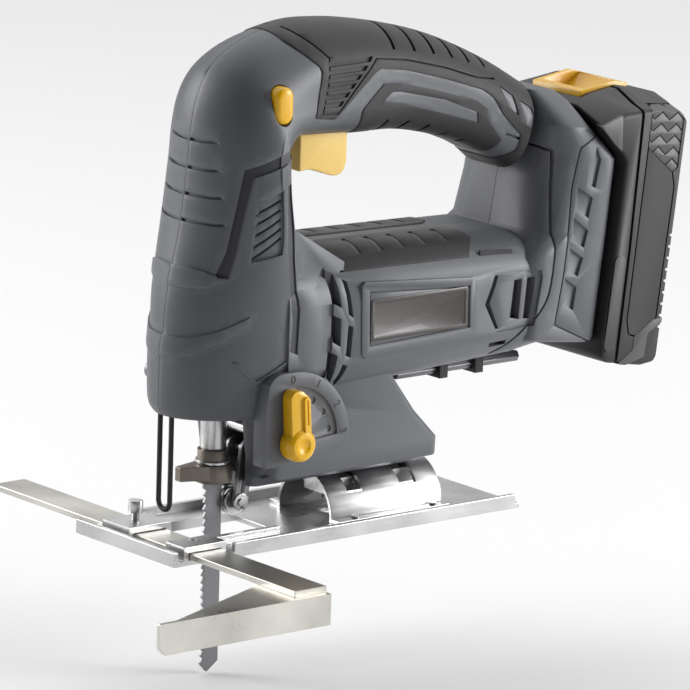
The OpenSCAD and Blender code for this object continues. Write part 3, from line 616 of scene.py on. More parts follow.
def pedestal(name, o):
    """The block under the barrel that carries the sole plate."""
    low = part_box("bevel_saddle")[1][2] / MM + 0.4
    upper = loft(name, [slab_ring(-34, 49.5, 23.9, 25 + o, o), slab_ring(-34, 49.5, 24.2, 32, o),
                        slab_ring(-35.5, 38, 24.6, 43.5, o), slab_ring(-39, 22, 28, 62, o)])
    keel = loft("keel", [slab_ring(-34, 48.5, 12.5, low + o, o, 3),
                         slab_ring(-34, 49.4, 19.5, 28.5, o, 4), slab_ring(-34, 49.4, 20, 33, o, 4)])
    return boolean(upper, keel, "UNION")


def foot_ring(v, u0, u1, half, front, o):
    """One level of the foot, with its own corner radius at the front."""
    u0, u1, half, rear = u0 + o, u1 - o, half - o, 5
    outline = (arc(u1 - rear, half - rear, rear, 0, 90, 6)
               + arc(u0 + front, half - front, front, 90, 180, 12)
               + arc(u0 + front, -half + front, front, 180, 270, 12)
               + arc(u1 - rear, -half + rear, rear, 270, 360, 6))
    return [on_foot(u, v, y) for u, y in outline]


def foot(name, o):
    """The upright foot behind the handle that takes the battery."""
    half = HALF + 1.5
    levels = ((-1.6, -36.2, -1.2, half - 1.8, 5), (-0.4, -36.5, 0, half, 5), (20, -39.2, 0, half, 6),
              (32, -40.4, 0, half, 9), (41, -34.8, 0, half, 17), (58, -34.4, -0.2, half, 21),
              (71.5, -33.4, -0.3, half, 20), (76, -33.2, -5.3, half - 0.4, 17),
              (83.5, -33, -14.6, half - 1.4, 9), (87, -33, -15.6, half - 6, 8),
              (92, -33.5, -16.5, half - 14, 6), (95.2, -34, -20, half - 19, 4))
    return loft(name, [foot_ring(*level, o) for level in levels])


def body_form(name, o):
    """The whole outside of the housing, drawn in by o millimetres."""
    form = column_and_handle(name, o)
    for make in (barrel, gusset, pedestal, foot):
        boolean(form, make("part", o), "UNION")
    return form


def both_sides(name, outline, inside=4.0, outside=REACH, view=side_on):
    """A prism through each side of the tool, clear of its middle."""
    return gather(name, [prism(name, outline, -outside, -inside, view),
                         prism(name, outline, inside, outside, view)])


def score(form, inner, outlines, view=side_on, inside=4.0):
    """Sinks outlines into both sides of form, down to inner's surface."""
    for outline in outlines:
        cutter = both_sides("score", outline, inside, view=view)
        boolean(cutter, inner, "DIFFERENCE", keep=True)
        boolean(form, cutter, "DIFFERENCE")


def raise_up(form, outer, outlines, view=side_on, inside=4.0):
    """Raises outlines on both sides of form, up to outer's surface."""
    for outline in outlines:
        pad = both_sides("pad", outline, inside, view=view)
        boolean(pad, outer, "INTERSECT", keep=True)
        boolean(form, pad, "UNION")


def closed_band(points, width):
    """Outline pieces of a closed line round points."""
    return [band([points[i], points[(i + 1) % len(points)]], width) for i in range(len(points))]


# Styling lines of the housing, as (x, z) in the side view
COLUMN_BAND = [(-25.9, 157.6), (-50, 147.6), (-52.6, 133.8), (-56, 116.5), (-59.5, 106.5),
               (-55.6, 106.5), (-53.6, 113.6), (-50.2, 130.6), (-47.1, 144.6), (-26, 152.6)]
LOUVRE_FIELD = [(-45.7, 136), (-36.6, 139.6), (-36.2, 121), (-36.8, 115), (-49, 112.6)]
REAR_STRAKE = [(-34.8, 141.4), (-30.6, 141), (-30.3, 112), (-28, 92.5), (-28.8, 75.5), (-32.4, 77),
               (-31.6, 88), (-34.4, 118)]
NOSE_LEDGE = [(-76, 82.5), (-67.1, 82.6), (-60, 85.6), (-49, 91.6), (-49.6, 89), (-58.3, 82),
              (-64.3, 78), (-69, 74.6), (-76, 74)]
NOSE_STEP = [(-76, 110), (-64.5, 109.4), (-56.4, 106), (-61.6, 103), (-66, 101.6), (-76, 101)]
UPPER_GRIP = [(-26.8, 206), (-26.8, 200), (-23.9, 192.5), (-13.6, 183.2), (-12.8, 181.3),
              (-16.2, 163.8), (-5.6, 162), (14.8, 178.1), (17.6, 179.3), (31.6, 177.3),
              (51.6, 171.9), (70.9, 165.8), (76.1, 162.1), (80.5, 155.4), (88.5, 146.7),
              (87.3, 140.5), (79, 134), (80, 124),
              (112, 114), (112, 178), (60, 206)]
LOWER_GRIP = [(9.2, 148), (8.6, 163.3), (9.6, 164.9), (19.4, 173.1), (27.8, 172.6), (49.8, 167),
              (68.1, 161.3), (72.3, 158.6), (74.6, 152.1), (80.6, 145.1), (79.6, 142.1), (74, 134),
              (40, 140)]
GRIP_WINDOWS = [[(19.2, 166.3), (24, 169.7), (29, 169.2), (52, 163.7), (67.8, 157.5), (68.5, 152.9),
                 (62.4, 154.7), (42.1, 160.8), (28.1, 164.9)],
                [(79.8, 166.6), (86.2, 162), (87.6, 154.2), (83.2, 158)],
                [(89.2, 160.2), (95, 156.4), (96.2, 147), (90.7, 150.6)]]
LABEL_FRAME = [(1.6, 98.6), (3.2, 100), (57, 95.8), (58.6, 94), (59.2, 73.6), (57.6, 71.8), (4, 69.9),
               (2.4, 71.6)]
VENTS = [[(-13.7, 105.8), (-9.8, 104.2), (-7.8, 91.2), (-11.8, 93.2)],
         [(-11.9, 89), (-7.8, 86.8), (-7.9, 76), (-11.9, 78.4)],
         [(-13.2, 75), (-9.2, 72.6), (-11.3, 62.2), (-14.2, 65)],
         [(-6.5, 102), (-4.3, 100.8), (-1.9, 86.6), (-4.3, 88.2)],
         [(-4.3, 84.1), (-1.8, 83), (-2.8, 71.1), (-5.2, 72.2)],
         [(-6.6, 69.1), (-4.2, 68.1), (-7.7, 60), (-9.4, 62.2)],
         [(64.2, 84), (69, 94.6), (71.2, 94.6), (66.8, 84), (71.6, 73.4), (69.4, 73.4)],
         [(79, 91.8), (82.9, 92), (81.7, 76), (77.2, 77)],
         [(85.6, 92), (89, 92.2), (87, 75.6), (84, 76)],
         [(63.5, 104.9), (79.6, 103.6), (80, 102), (63.6, 102.8)],
         [(67, 68.2), (75.6, 68.6), (75.6, 66.8), (67.2, 66.4)]]
REAR_FIELD = [(63.5, 84), (68.6, 95.6), (90.6, 95), (91.4, 92), (88, 73), (70, 72.2)]
VENT_FIELD = [(-19.6, 100), (-14.6, 107), (-13.6, 106), (-11.6, 93), (-12, 76), (-14.6, 64.5), (-19, 66),
              (-16.4, 82)]
FOOT_PANEL = [(-11.3, 82), (-2.6, 73), (-1, 2), (-4, -1), (-23.3, 5.5), (-22.1, 24.3), (-21.9, 60.9),
              (-20.6, 75.7)]
FOOT_MARKS = [[(-12.9, 76.3), (-10.2, 71.4), (-11.4, 60.1), (-15.6, 61.4)],
              [(-19.6, 59.9), (-12, 56.2), (-12.9, 48.1), (-19.2, 51)],
              [(-20.2, 48), (-12.2, 43.2), (-13.2, 36.3), (-19.6, 39)],
              [(-20.4, 36), (-13, 32.2), (-14.6, 24.9), (-20, 27)],
              [(-20.8, 24), (-14.4, 20.7), (-14.8, 11.4), (-20.2, 14)]]
SCREWS = ((-60, 64), (-46.5, 165.5), (96, 150), (90, 74), (9, 49), (32, 36.5))


def thin_grooves():
    """Outlines of the narrow lines scored in the housing."""
    lines = [band([(-80, z + 0.6), (-58, z), (-55.5, z + 0.5)], 1.3) for z in (156.6, 146, 136, 126)]
    lines += [band(curve([(82, 147.5), (91, 144), (98.9, 140.4), (100.4, 137), (98, 112), (95.6, 88.4),
                          (90.4, 78.1), (78.1, 67.6), (70, 63)], 4), 1.0)]
    lines += closed_band([(6, 95.6), (54.8, 92.2), (55.4, 76.6), (6.6, 74.6)], 0.5)
    return lines


def rail_slot(grow):
    """The undercut slot that the battery's rail slides down, or the rail itself."""
    wide, narrow = 17 + grow, 12 + grow
    top = 130 if grow else 66
    deep = prism("slot", [(-wide, 5 - grow), (wide, 5 - grow), (wide, top), (-wide, top)], -9 - grow,
                 -5 + grow, lambda y, v, u: on_foot(u, v, y))
    lips = prism("slot", [(-narrow, 5 - grow), (narrow, 5 - grow), (narrow, top), (-narrow, top)],
                 -6, 1, lambda y, v, u: on_foot(u, v, y))
    return boolean(deep, lips, "UNION")


def grip_blank(name):
    """The two rubber zones through the whole handle, without their windows."""
    blank = prism(name, UPPER_GRIP, -REACH, REACH, side_on)
    boolean(blank, prism("low", LOWER_GRIP, -REACH, REACH, side_on), "UNION")
    for outline in GRIP_WINDOWS:
        boolean(blank, both_sides("window", outline), "DIFFERENCE")
    return blank


class JIGSAW_OT_housing(bpy.types.Operator):
    """Moulds the two housing halves with their seams, grooves, vents and screw wells"""
    bl_idname = "jigsaw.housing"
    bl_label = "Housing"

    def execute(self, context):
        depth = sizes().groove / MM
        form = body_form("housing", 0.0)
        inner = body_form("inner", depth)
        deeper = body_form("deeper", 2 * depth)
        outer = body_form("outer", -0.7)
        raise_up(form, outer, [NOSE_LEDGE, NOSE_STEP], inside=CENTRE_GAP)
        raise_up(form, outer, [band([(-53.9, 74), (-46.2, 66.3)], 0.6),
                               band([(-45.4, 66.3), (-33.4, 73)], 0.6)])
        boolean(form, self.label_frame(), "UNION")
        score(form, inner, [COLUMN_BAND, LOUVRE_FIELD, REAR_STRAKE, REAR_FIELD, VENT_FIELD])
        score(form, inner, thin_grooves(), inside=0.5)
        score(form, deeper, [band([(-47.2 - 0.2 * k, 130.4 - 4.2 * k), (-37, 135.8 - 3.6 * k)], 0.9)
                             for k in range(5)])
        score(form, inner, FOOT_MARKS, on_foot)
        score(form, inner, closed_band(FOOT_PANEL, 0.6), on_foot)
        core = handle("core", 1.9)
        grip = grip_blank("grip")
        boolean(grip, core, "DIFFERENCE")
        boolean(grip, foot("room", -0.3), "DIFFERENCE")
        boolean(form, grip, "DIFFERENCE")
        for outline in VENTS:
            boolean(form, both_sides("slot", outline, HALF - 5), "DIFFERENCE")
        self.openings(form)
        halves = (("left_housing", -1, "left_shell"), ("right_housing", 1, "right_shell"))
        for name, sign, node in halves:
            half = copy_of(form, name)
            keep_side(half, sign, sizes().seam)
            round_edges(half, sizes().edge)
            finish_piece(half, material("housing"), "housing", "shell", node)
        # Dark strips in the column band and rear strake are painted shade for the grooves' floors
        self.painted_groove_shade(deeper)
        for name in ("housing", "inner", "deeper", "outer"):
            bpy.data.objects.remove(bpy.data.objects[name], do_unlink=True)
        # Thin black sheets just inside the vent slots are painted shade for the vents' dark insides
        liner = both_sides("vent_liner", VENTS[0], HALF - 4.6, HALF - 4)
        for outline in VENTS[1:]:
            gather("vent_liner", [liner, both_sides("liner", outline, HALF - 4.6, HALF - 4)])
        finish_piece(liner, material("black_plastic"), "housing", "black_plastic")
        return {"FINISHED"}

    @staticmethod
    def painted_groove_shade(deeper):
        """Dark strips laid in the broad grooves: painted shade on the grooves' floors."""
        low = body_form("low", 0.6 * sizes().groove / MM)
        strips = []
        for outline in (COLUMN_BAND, REAR_STRAKE):
            strip = both_sides("strip", outline)
            boolean(strip, low, "INTERSECT", keep=True)
            boolean(strip, deeper, "DIFFERENCE", keep=True)
            strips.append(strip)
        bpy.data.objects.remove(low, do_unlink=True)
        bands = gather("styling_strips", strips)
        # The strips' dark grey is painted shade, not a second moulding colour
        finish_piece(bands, material("groove_shade_dark"), "housing", "shell")

    @staticmethod
    def label_frame():
        """The raised frame round the nameplates."""
        frame = both_sides("frame", LABEL_FRAME, HALF - 3, HALF + 0.5)
        boolean(frame, both_sides("frame", [(5.4, 96.2), (55.4, 92.8), (56, 76), (6, 74)], HALF - 4,
                                  HALF + 3), "DIFFERENCE")
        return frame

    @staticmethod
    def openings(form):
        """Openings for the trigger, the rod, the gears, the sole, the rail, the lock and the screws."""
        low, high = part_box("trigger")
        well = prism("well", rounded(low[0] / MM + 1.2, high[0] / MM - 1.2, -9.4, 9.4, 1.5),
                     CROWN - 70, CROWN - 26.6, from_above)
        boolean(form, well, "DIFFERENCE")
        recess = prism("recess", rounded(-80, -22.5, -7.8, 7.8, 1.0), 0, 50.6, from_above)
        boolean(form, recess, "DIFFERENCE")
        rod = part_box("lower_bush")
        bore = arc((rod[0][0] + rod[1][0]) / 2 / MM, 0, rod[1][1] / MM + 0.1, 0, 352.5, 48)
        boolean(form, prism("bore", bore, 50, rod[1][2] / MM + 2, from_above), "DIFFERENCE")
        works = prism("works", rounded(-55, -25.5, -19, 19, 4), rod[1][2] / MM + 2,
                      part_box("upper_bush")[0][2] / MM - 1, from_above)
        boolean(form, works, "DIFFERENCE")
        sector = arc(0, 0, RAIL_SWEEP, 2, 54, 14) + arc(0, 0, RAIL_SWEEP - 3.6, 54, 2, 14)
        for sign in (-1, 1):
            sweep = [(sign * a, BEVEL_Z + b) for a, b in sector]
            boolean(form, prism("sweep", sweep, -60, 80, from_behind), "DIFFERENCE")
        boolean(form, rail_slot(0.4), "DIFFERENCE")
        boolean(form, prism("dial", DIAL_OUTLINE, -REACH, -26, side_on), "DIFFERENCE")
        low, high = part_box("lock_button")
        middle = ((low[0] + high[0]) / 2 / MM, (low[2] + high[2]) / 2 / MM)
        pill = rounded(middle[0] - 4.6, middle[0] + 4.6, middle[1] - 7.7, middle[1] + 7.7, 4.5)
        boolean(form, prism("lock", pill, -REACH, -14.3, side_on), "DIFFERENCE")
        for x, z in SCREWS:
            boolean(form, prism("screw", arc(x, z, 3.7, 0, 345, 24), 17.4, REACH, side_on), "DIFFERENCE")


class JIGSAW_OT_grips(bpy.types.Operator):
    """Moulds the rubber over the handle"""
    bl_idname = "jigsaw.grips"
    bl_label = "Handle grips"

    def execute(self, context):
        skin = handle("skin", -0.35)
        boolean(skin, handle("core", 1.8), "DIFFERENCE")
        boolean(skin, grip_blank("blank"), "INTERSECT")
        boolean(skin, foot("room", -0.1), "DIFFERENCE")
        inner = handle("inner", 0.5)
        gaps = []
        for k in range(6):
            z = 167 + 3.1 * k
            left = -11.6 + 0.42 * k
            right = -2.8 + 3.0 * k
            gaps.append([(left, z), (right, z), (right + 1.6, z + 1.9), (left + 0.3, z + 1.9)])
        creases = [band([(-12.6, 164.6), (-4.2, 164.2), (15.6, 183.4), (31.4, 181.2), (51.4, 176.2),
                         (67.7, 170.8), (78, 169)], 0.7),
                   band([(-12.6, 164.8), (-9.8, 176), (-8.6, 186), (-20, 197)], 0.7)]
        score(skin, inner, gaps + creases)
        score(skin, inner, [band([(x, 205), (x - 0.4, z)], 1.5) for x, z in
                            ((26.6, 185.4), (37.5, 183.6), (47.7, 181.5), (57.4, 179), (66.5, 176.2),
                             (75.5, 173.4))], inside=CENTRE_GAP)
        score(skin, inner, [band([(x, z), (x - 4.6, z - 7)], 1.4) for x, z in
                            ((24, 158.4), (35.3, 156.8), (46.4, 154), (56.6, 149.6), (66, 146))],
              inside=CENTRE_GAP)
        bpy.data.objects.remove(inner, do_unlink=True)
        for name, sign, node in (("left_overmould", -1, "left_grip"),
                                 ("right_overmould", 1, "right_grip")):
            half = copy_of(skin, name)
            keep_side(half, sign, 0.00012)
            round_edges(half, sizes().edge * 0.7)
            finish_piece(half, material("grip_rubber"), "housing", "grip", node)
        bpy.data.objects.remove(skin, do_unlink=True)
        return {"FINISHED"}


class JIGSAW_OT_pads(bpy.types.Operator):
    """Makes the ribbed rubber pads on the barrel and the blank nameplates"""
    bl_idname = "jigsaw.pads"
    bl_label = "Barrel pads and plates"

    def execute(self, context):
        skin = barrel("skin", -0.5)
        boolean(skin, barrel("core", 1.0), "DIFFERENCE")
        outline = [(-6, -27.5), (58, -27.5), (64, -21), (64, -7), (60, -4), (0, -4), (-6, -10)]
        boolean(skin, prism("pad", outline, 102, 130, from_above), "INTERSECT")
        for k in range(5):
            x = 6 + 11 * k
            boolean(skin, prism("rib", [(x, -24), (x + 2.4, -24), (x + 5.4, -8), (x + 3, -8)], 108.8,
                                130, from_above), "DIFFERENCE")
        round_edges(skin, sizes().edge)
        right = mirrored(skin, "right_pad")
        skin.name = "left_pad"
        finish_piece(skin, material("grip_rubber"), "housing", "grip", "left_barrel_pad")
        finish_piece(right, material("grip_rubber"), "housing", "grip", "right_barrel_pad")
        plate = prism("left_plate", rounded(6.4, 54.6, 76.4, 92.6, 1.2), -HALF - 0.45, -HALF + 2,
                      side_on)
        rim = prism("rim", rounded(8, 53, 78, 91, 1), -HALF - 3, -HALF - 0.2, side_on)
        boolean(plate, rim, "DIFFERENCE")
        round_edges(plate, 0.00015)
        other = mirrored(plate, "right_plate")
        finish_piece(plate, material("label"), "housing", "nameplate", "left_nameplate")
        finish_piece(other, material("label"), "housing", "nameplate", "right_nameplate")
        return {"FINISHED"}


SELECT_X, SELECT_Z = -31.6, 42.1
DIAL_OUTLINE = ([(-44.4, 33.4), (-44.4, 58)] + arc(-36.4, 61.4, 8, 150, 96, 5)
                + arc(SELECT_X, SELECT_Z, 27.3, 92, -3, 18) + [(-12, 36.6), (-40, 33.4)])


class JIGSAW_OT_dial(bpy.types.Operator):
    """Makes the orbit selector's scale plate, its figures and its pointer knob"""
    bl_idname = "jigsaw.dial"
    bl_label = "Orbit selector"

    def execute(self, context):
        plate = prism("scale_plate", DIAL_OUTLINE, -33.6, -25.6, side_on)
        tray = prism("tray", [(-30.5, 41.4)] + arc(SELECT_X, SELECT_Z, 21.6, 88, 2, 16), -40, -32.7,
                     side_on)
        boolean(plate, tray, "DIFFERENCE")
        for angle in (57, 34, 10):
            a = math.radians(angle)
            spot = arc(SELECT_X + 18 * math.cos(a), SELECT_Z + 18 * math.sin(a), 1.3, 0, 340, 18)
            boolean(plate, prism("dimple", spot, -40, -32.1, side_on), "DIFFERENCE")
        round_edges(plate, 0.0004)
        finish_piece(plate, material("housing"), "housing", "dial", "dial_plate")
        figures = [self.figure(text, angle) for text, angle in
                   (("0", 91), ("1", 61), ("2", 31), ("3", 4))]
        numbers = gather("figures", figures)
        finish_piece(numbers, material("print_dark"), "housing", "dial")
        self.knob()
        return {"FINISHED"}

    @staticmethod
    def figure(text, angle):
        """A moulded figure on the scale, turned with the arc."""
        deselect()
        bpy.ops.object.text_add()
        obj = bpy.context.object
        obj.data.body = text
        obj.data.size = 0.0046
        obj.data.align_x = "CENTER"
        obj.data.align_y = "CENTER"
        obj.data.extrude = 0.00012
        bpy.ops.object.convert(target="MESH")
        a = math.radians(angle)
        turn = Matrix.Rotation(math.radians(90), 4, "X") @ Matrix.Rotation(a - math.radians(90), 4, "Z")
        at = Vector((SELECT_X + 24.4 * math.cos(a), -33.62, SELECT_Z + 24.4 * math.sin(a))) * MM
        obj.data.transform(Matrix.Translation(at) @ turn)
        return obj

    @staticmethod
    def knob():
        """The round boss with its pointer, turned a little past upright."""
        lean = math.radians(4)

        def up(a, b):
            return (SELECT_X + a * math.cos(lean) + b * -math.sin(lean),
                    SELECT_Z + a * math.sin(lean) + b * math.cos(lean))
        boss = loft("knob", [[(SELECT_X + r * math.cos(t * math.pi / 24), y,
                               SELECT_Z + r * math.sin(t * math.pi / 24)) for t in range(48)]
                             for r, y in ((6.6, -34.1), (6.6, -38), (6.1, -39.8), (4.9, -40.8),
                                          (3.1, -41), (2.6, -40.6), (1.4, -40.2))])
        arm = [up(a, b) for a, b in [(-4.6, 0), (-4.6, 17)] + arc(-1.4, 18.4, 3.2, 170, 100, 5)
               + [(1, 21.2), (3.6, 18.6), (4.2, 16.4), (4.2, 0)]]
        pointer = prism("arm", arm, -39.6, -34.1, side_on)
        ridge = prism("ridge", [up(a, b) for a, b in rounded(0.9, 3.7, 3, 18.8, 1.3)], -40.7, -36,
                      side_on)
        boolean(pointer, ridge, "UNION")
        boolean(boss, pointer, "UNION")
        slot = prism("slot", [up(a, b) for a, b in rounded(2.0, 2.7, 8, 17.6, 0.3)], -42, -40.3,
                     side_on)
        boolean(boss, slot, "DIFFERENCE")
        round_edges(boss, 0.0008, segments=3)
        finish_piece(boss, material("accent"), "selector", "knob", "selector_knob")


class JIGSAW_OT_buttons(bpy.types.Operator):
    """Makes the trigger and the lock button"""
    bl_idname = "jigsaw.buttons"
    bl_label = "Trigger and lock"

    def execute(self, context):
        low, high = [[c / MM for c in corner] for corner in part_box("trigger")]
        x0, x1 = low[0] + 1.5, high[0] - 1.5
        finger = (curve([(x0, low[2] + 3.2), (x0 + 5, low[2] + 3.6), (x0 + 10, low[2] + 2.2),
                         (x0 + 14.5, low[2] + 0.5), (x0 + 18.5, low[2]), (x1 - 1.6, low[2] + 1.3),
                         (x1, low[2] + 5)], 5) + [(x1, high[2]), (x0, high[2])])
        trigger = prism("trigger_piece", finger, low[1], high[1], side_on)
        round_edges(trigger, 0.0018, angle=50, segments=4)
        finish_piece(trigger, material("trigger"), "trigger_lever", "trigger", "trigger")
        low, high = [[c / MM for c in corner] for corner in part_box("lock_button")]
        x, z = (low[0] + high[0]) / 2, (low[2] + high[2]) / 2
        rings = []
        for grow, y in ((0, -18.4), (0, -26.4), (-0.4, -27.2), (-1.1, -27.7), (-2.2, -27.9)):
            rings.append([(a, y, b) for a, b in rounded(x - 4.1 - grow, x + 4.1 + grow, z - 7.2 - grow,
                                                        z + 7.2 + grow, 4.0 + grow, 8)])
        button = loft("lock_piece", rings)
        round_edges(button, 0.0002)
        finish_piece(button, material("accent"), "lock", "trigger", "lock_button")
        return {"FINISHED"}


PACK_LOW = [(0.4, -7), (3, -9), (22, -10), (29, -8.5), (30, -6), (30, 88), (26, 92), (11, 92),
            (-2.6, 90), (-15.2, 84.6), (0.4, 72), (0.4, 30)]
PACK_HIGH = [(0.4, -7), (3, -9), (22, -10), (29, -8.5), (30, -6), (30, 93), (26, 97), (8, 98.6),
             (-6, 94.8), (-15.2, 90.6), (0.4, 72), (0.4, 30)]


def pack_form(name, o):
    """The battery's outside: a slab with a head that steps up to the middle."""
    half = PACK_HALF - o
    middle_u, middle_v = 14, 42

    def shrunk(outline, y):
        return [on_foot(u + (o if u < middle_u else -o), v + (o if v < middle_v else -o), y)
                for u, v in outline]
    return loft(name, [shrunk(PACK_LOW, -half), shrunk(PACK_HIGH, -half + 17),
                       shrunk(PACK_HIGH, half - 17), shrunk(PACK_LOW, half)])


class JIGSAW_OT_battery(bpy.types.Operator):
    """Makes the battery's case, cover, side panels and trims"""
    bl_idname = "jigsaw.battery"
    bl_label = "Battery"

    def execute(self, context):
        form = pack_form("pack", 0.0)
        round_edges(form, 0.0018, angle=25, segments=3)
        inner = pack_form("inner", 1.2)
        boolean(form, self.button_room(), "DIFFERENCE")
        panel = [(10.4, 90.5), (11, 77), (25, 67.6), (26.8, 62), (26.4, 8), (17.4, 1.6), (13, 2.6),
                 (11.2, 8)]
        texture = [(10.6, 94), (27.6, 94), (27.6, 69.4), (25.2, 67.6), (11, 77)]
        step = [(4.6, 100), (6.2, 100), (8.4, 36), (9, -14), (7.4, -14), (7, 36)]
        score(form, inner, closed_band(panel, 0.7) + [step, texture], on_foot)
        for k in range(9):
            v = 5 + 4.6 * k
            score(form, inner, [[(28, v), (34, v), (34, v + 1.6), (28, v + 1.2)]], on_foot)
        split = prism("split", [(-40, -40), (16, -40), (16, 140), (-40, 140)], -REACH, REACH, on_foot)
        case = copy_of(form, "battery_body")
        boolean(case, split, "INTERSECT", keep=True)
        boolean(form, split, "DIFFERENCE")
        boolean(case, rail_slot(0), "UNION")
        tabs = both_sides("tab", rounded(0.8, 6.4, -4.6, 34, 2.6), 30, PACK_HALF + 0.35, on_foot)
        boolean(case, tabs, "UNION")
        round_edges(case, 0.0003)
        form.name = "battery_lid"
        round_edges(form, 0.0003)
        finish_piece(case, material("pack_black"), "battery", "black_plastic", "battery_case")
        finish_piece(form, material("pack_black"), "battery", "black_plastic", "battery_cover")
        self.corners(inner, texture)
        self.trims()
        self.scoop()
        return {"FINISHED"}

    @staticmethod
    def button_room():
        return prism("room", [(-9.6, 86.6), (15.8, 86.6), (15.8, 140), (-9.6, 140)], -14.9, 14.9,
                     on_foot)

    @staticmethod
    def scoop():
        """The release button: a rimmed thumb scoop on the battery's head."""
        button = prism("release_scoop", [(-9, 90.6), (-9, 95.4), (8, 100.2), (15.2, 99.4), (15.2, 90.6)],
                       -14.4, 14.4, on_foot)
        hollow = prism("hollow", [(-7, 96.6), (-6.4, 105), (13.2, 105), (13.2, 99), (5, 92.6)], -12.4,
                       12.4, on_foot)
        boolean(button, hollow, "DIFFERENCE")
        round_edges(button, 0.0006, segments=3)
        finish_piece(button, material("accent"), "battery_button", "trigger", "release_button")

    @staticmethod
    def corners(inner, outline):
        """Textured grey corner panels: a tread of staggered bricks."""
        corner = both_sides("corner_panel", outline, 4, REACH, on_foot)
        boolean(corner, pack_form("skin", 0.35), "INTERSECT")
        boolean(corner, pack_form("core", 2.2), "DIFFERENCE")
        core = pack_form("depth", 0.9)
        lines = []
        for k in range(6):
            v = 70 + 4.6 * k
            lines.append(band([(8, v + 3), (12, v), (16, v + 3), (20, v), (24, v + 3), (28, v)], 0.7))
        score(corner, core, lines, on_foot)
        for obj in (inner, core):
            bpy.data.objects.remove(obj, do_unlink=True)
        round_edges(corner, 0.00015)
        finish_piece(corner, material("trim_grey"), "battery", "black_plastic")

    @staticmethod
    def trims():
        """Grey-brown wedges at the front of the head and strips at the bottom corners."""
        pieces = []
        for name, outline in (("head_wedge", [(-16.5, 84.2), (-5, 89.4), (-3, 75.4)]),
                              ("bottom_strip", [(29.6, 9.4), (25, 8.6), (16, 1.8), (16, -4), (9, -9.3),
                                                (13, -9.9), (22.6, -6.4), (23, 3), (29.6, 7.6)])):
            strip = both_sides(name, outline, 4, REACH, on_foot)
            boolean(strip, pack_form("skin", -0.15), "INTERSECT")
            boolean(strip, pack_form("core", 0.8), "DIFFERENCE")
            pieces.append(strip)
        trim = gather("battery_trims", pieces)
        round_edges(trim, 0.00012)
        finish_piece(trim, material("trim_grey"), "battery", "black_plastic")


PLATED = ("base_plate", "bevel_saddle", "saddle_rivets", "fence_screw")
NICKEL = ("fence_bar", "fence_plate")
BRIGHT = ("plunger", "roller_pin", "roller_clip", "support_roller", "selector_shaft",
          "fork_pivot_pin", "lower_bush", "upper_bush", "gear_frame", "motor_can", "motor_end_cap",
          "front_bearing", "rear_bearing", "gear_axle", "drive_gear", "pinion", "crank_roller",
          "clamp_shoe", "trigger_spring", "lock_spring", "clamp_spring", "release_spring",
          "armature", "motor_magnets", "battery_contacts")
DARK = ("blade", "clamp_bolts", "housing_screws", "hex_key", "roller_fork")
BLACK = ("wire_guard", "key_clip", "switch_body", "terminal_block", "control_board",
         "cooling_fan", "battery_cells")
BRONZE = ("clamp_collar", "clamp_holder")


class JIGSAW_OT_metalwork(bpy.types.Operator):
    """Gives the engineered parts their finishes and broken edges"""
    bl_idname = "jigsaw.metalwork"
    bl_label = "Metalwork"

    def execute(self, context):
        groups = ((PLATED, "zinc_plate"), (NICKEL, "nickel_strip"), (BRIGHT, "ground_steel"),
                  (DARK, "dark_steel"), (BLACK, "black_plastic"), (BRONZE, "sintered_bronze"))
        for names, finish in groups:
            for name in names:
                node = NODES[name]
                node.data.materials.clear()
                node.data.materials.append(material(finish))
                weld = node.modifiers.new("weld", "WELD")
                weld.merge_threshold = 0.00002
                edges = node.modifiers.new("edges", "BEVEL")
                edges.width = sizes().metal_edge
                edges.segments = 2
                edges.limit_method = "ANGLE"
                edges.angle_limit = math.radians(40)
        return {"FINISHED"}


class JIGSAW_OT_finishes(bpy.types.Operator):
    """Makes the materials"""
    bl_idname = "jigsaw.finishes"
    bl_label = "Finishes"

    def execute(self, context):
        c = colours()
        moulded_plastic("housing", tuple(c.housing))
        moulded_plastic("pack_black", (0.016, 0.016, 0.018), 0.46)
        moulded_plastic("black_plastic", (0.01, 0.01, 0.011), 0.4)
        rubber("grip_rubber", tuple(c.rubber))
        gloss_plastic("accent", tuple(c.accent))
        gloss_plastic("trigger", tuple(c.trigger), 0.33)
        gloss_plastic("label", (0.05, 0.043, 0.04), 0.3)
        moulded_plastic("trim_grey", (0.075, 0.073, 0.072), 0.45)
        # Dark grey for the strips that paint shade on the broad grooves' floors
        moulded_plastic("groove_shade_dark", (0.032, 0.034, 0.039), 0.45)
        gloss_plastic("print_dark", (0.03, 0.032, 0.036), 0.5)
        sheet_metal("zinc_plate", tuple(c.zinc), 0.24, (0.1, 1, 1))
        sheet_metal("nickel_strip", (0.60, 0.585, 0.54), 0.26, (1, 0.08, 1))
        sheet_metal("ground_steel", (0.6, 0.6, 0.6), 0.2, (1, 1, 0.1))
        sheet_metal("dark_steel", (0.09, 0.09, 0.1), 0.34, (1, 1, 0.2))
        sheet_metal("sintered_bronze", (0.26, 0.23, 0.2), 0.42, (1, 1, 1), 120)
        return {"FINISHED"}


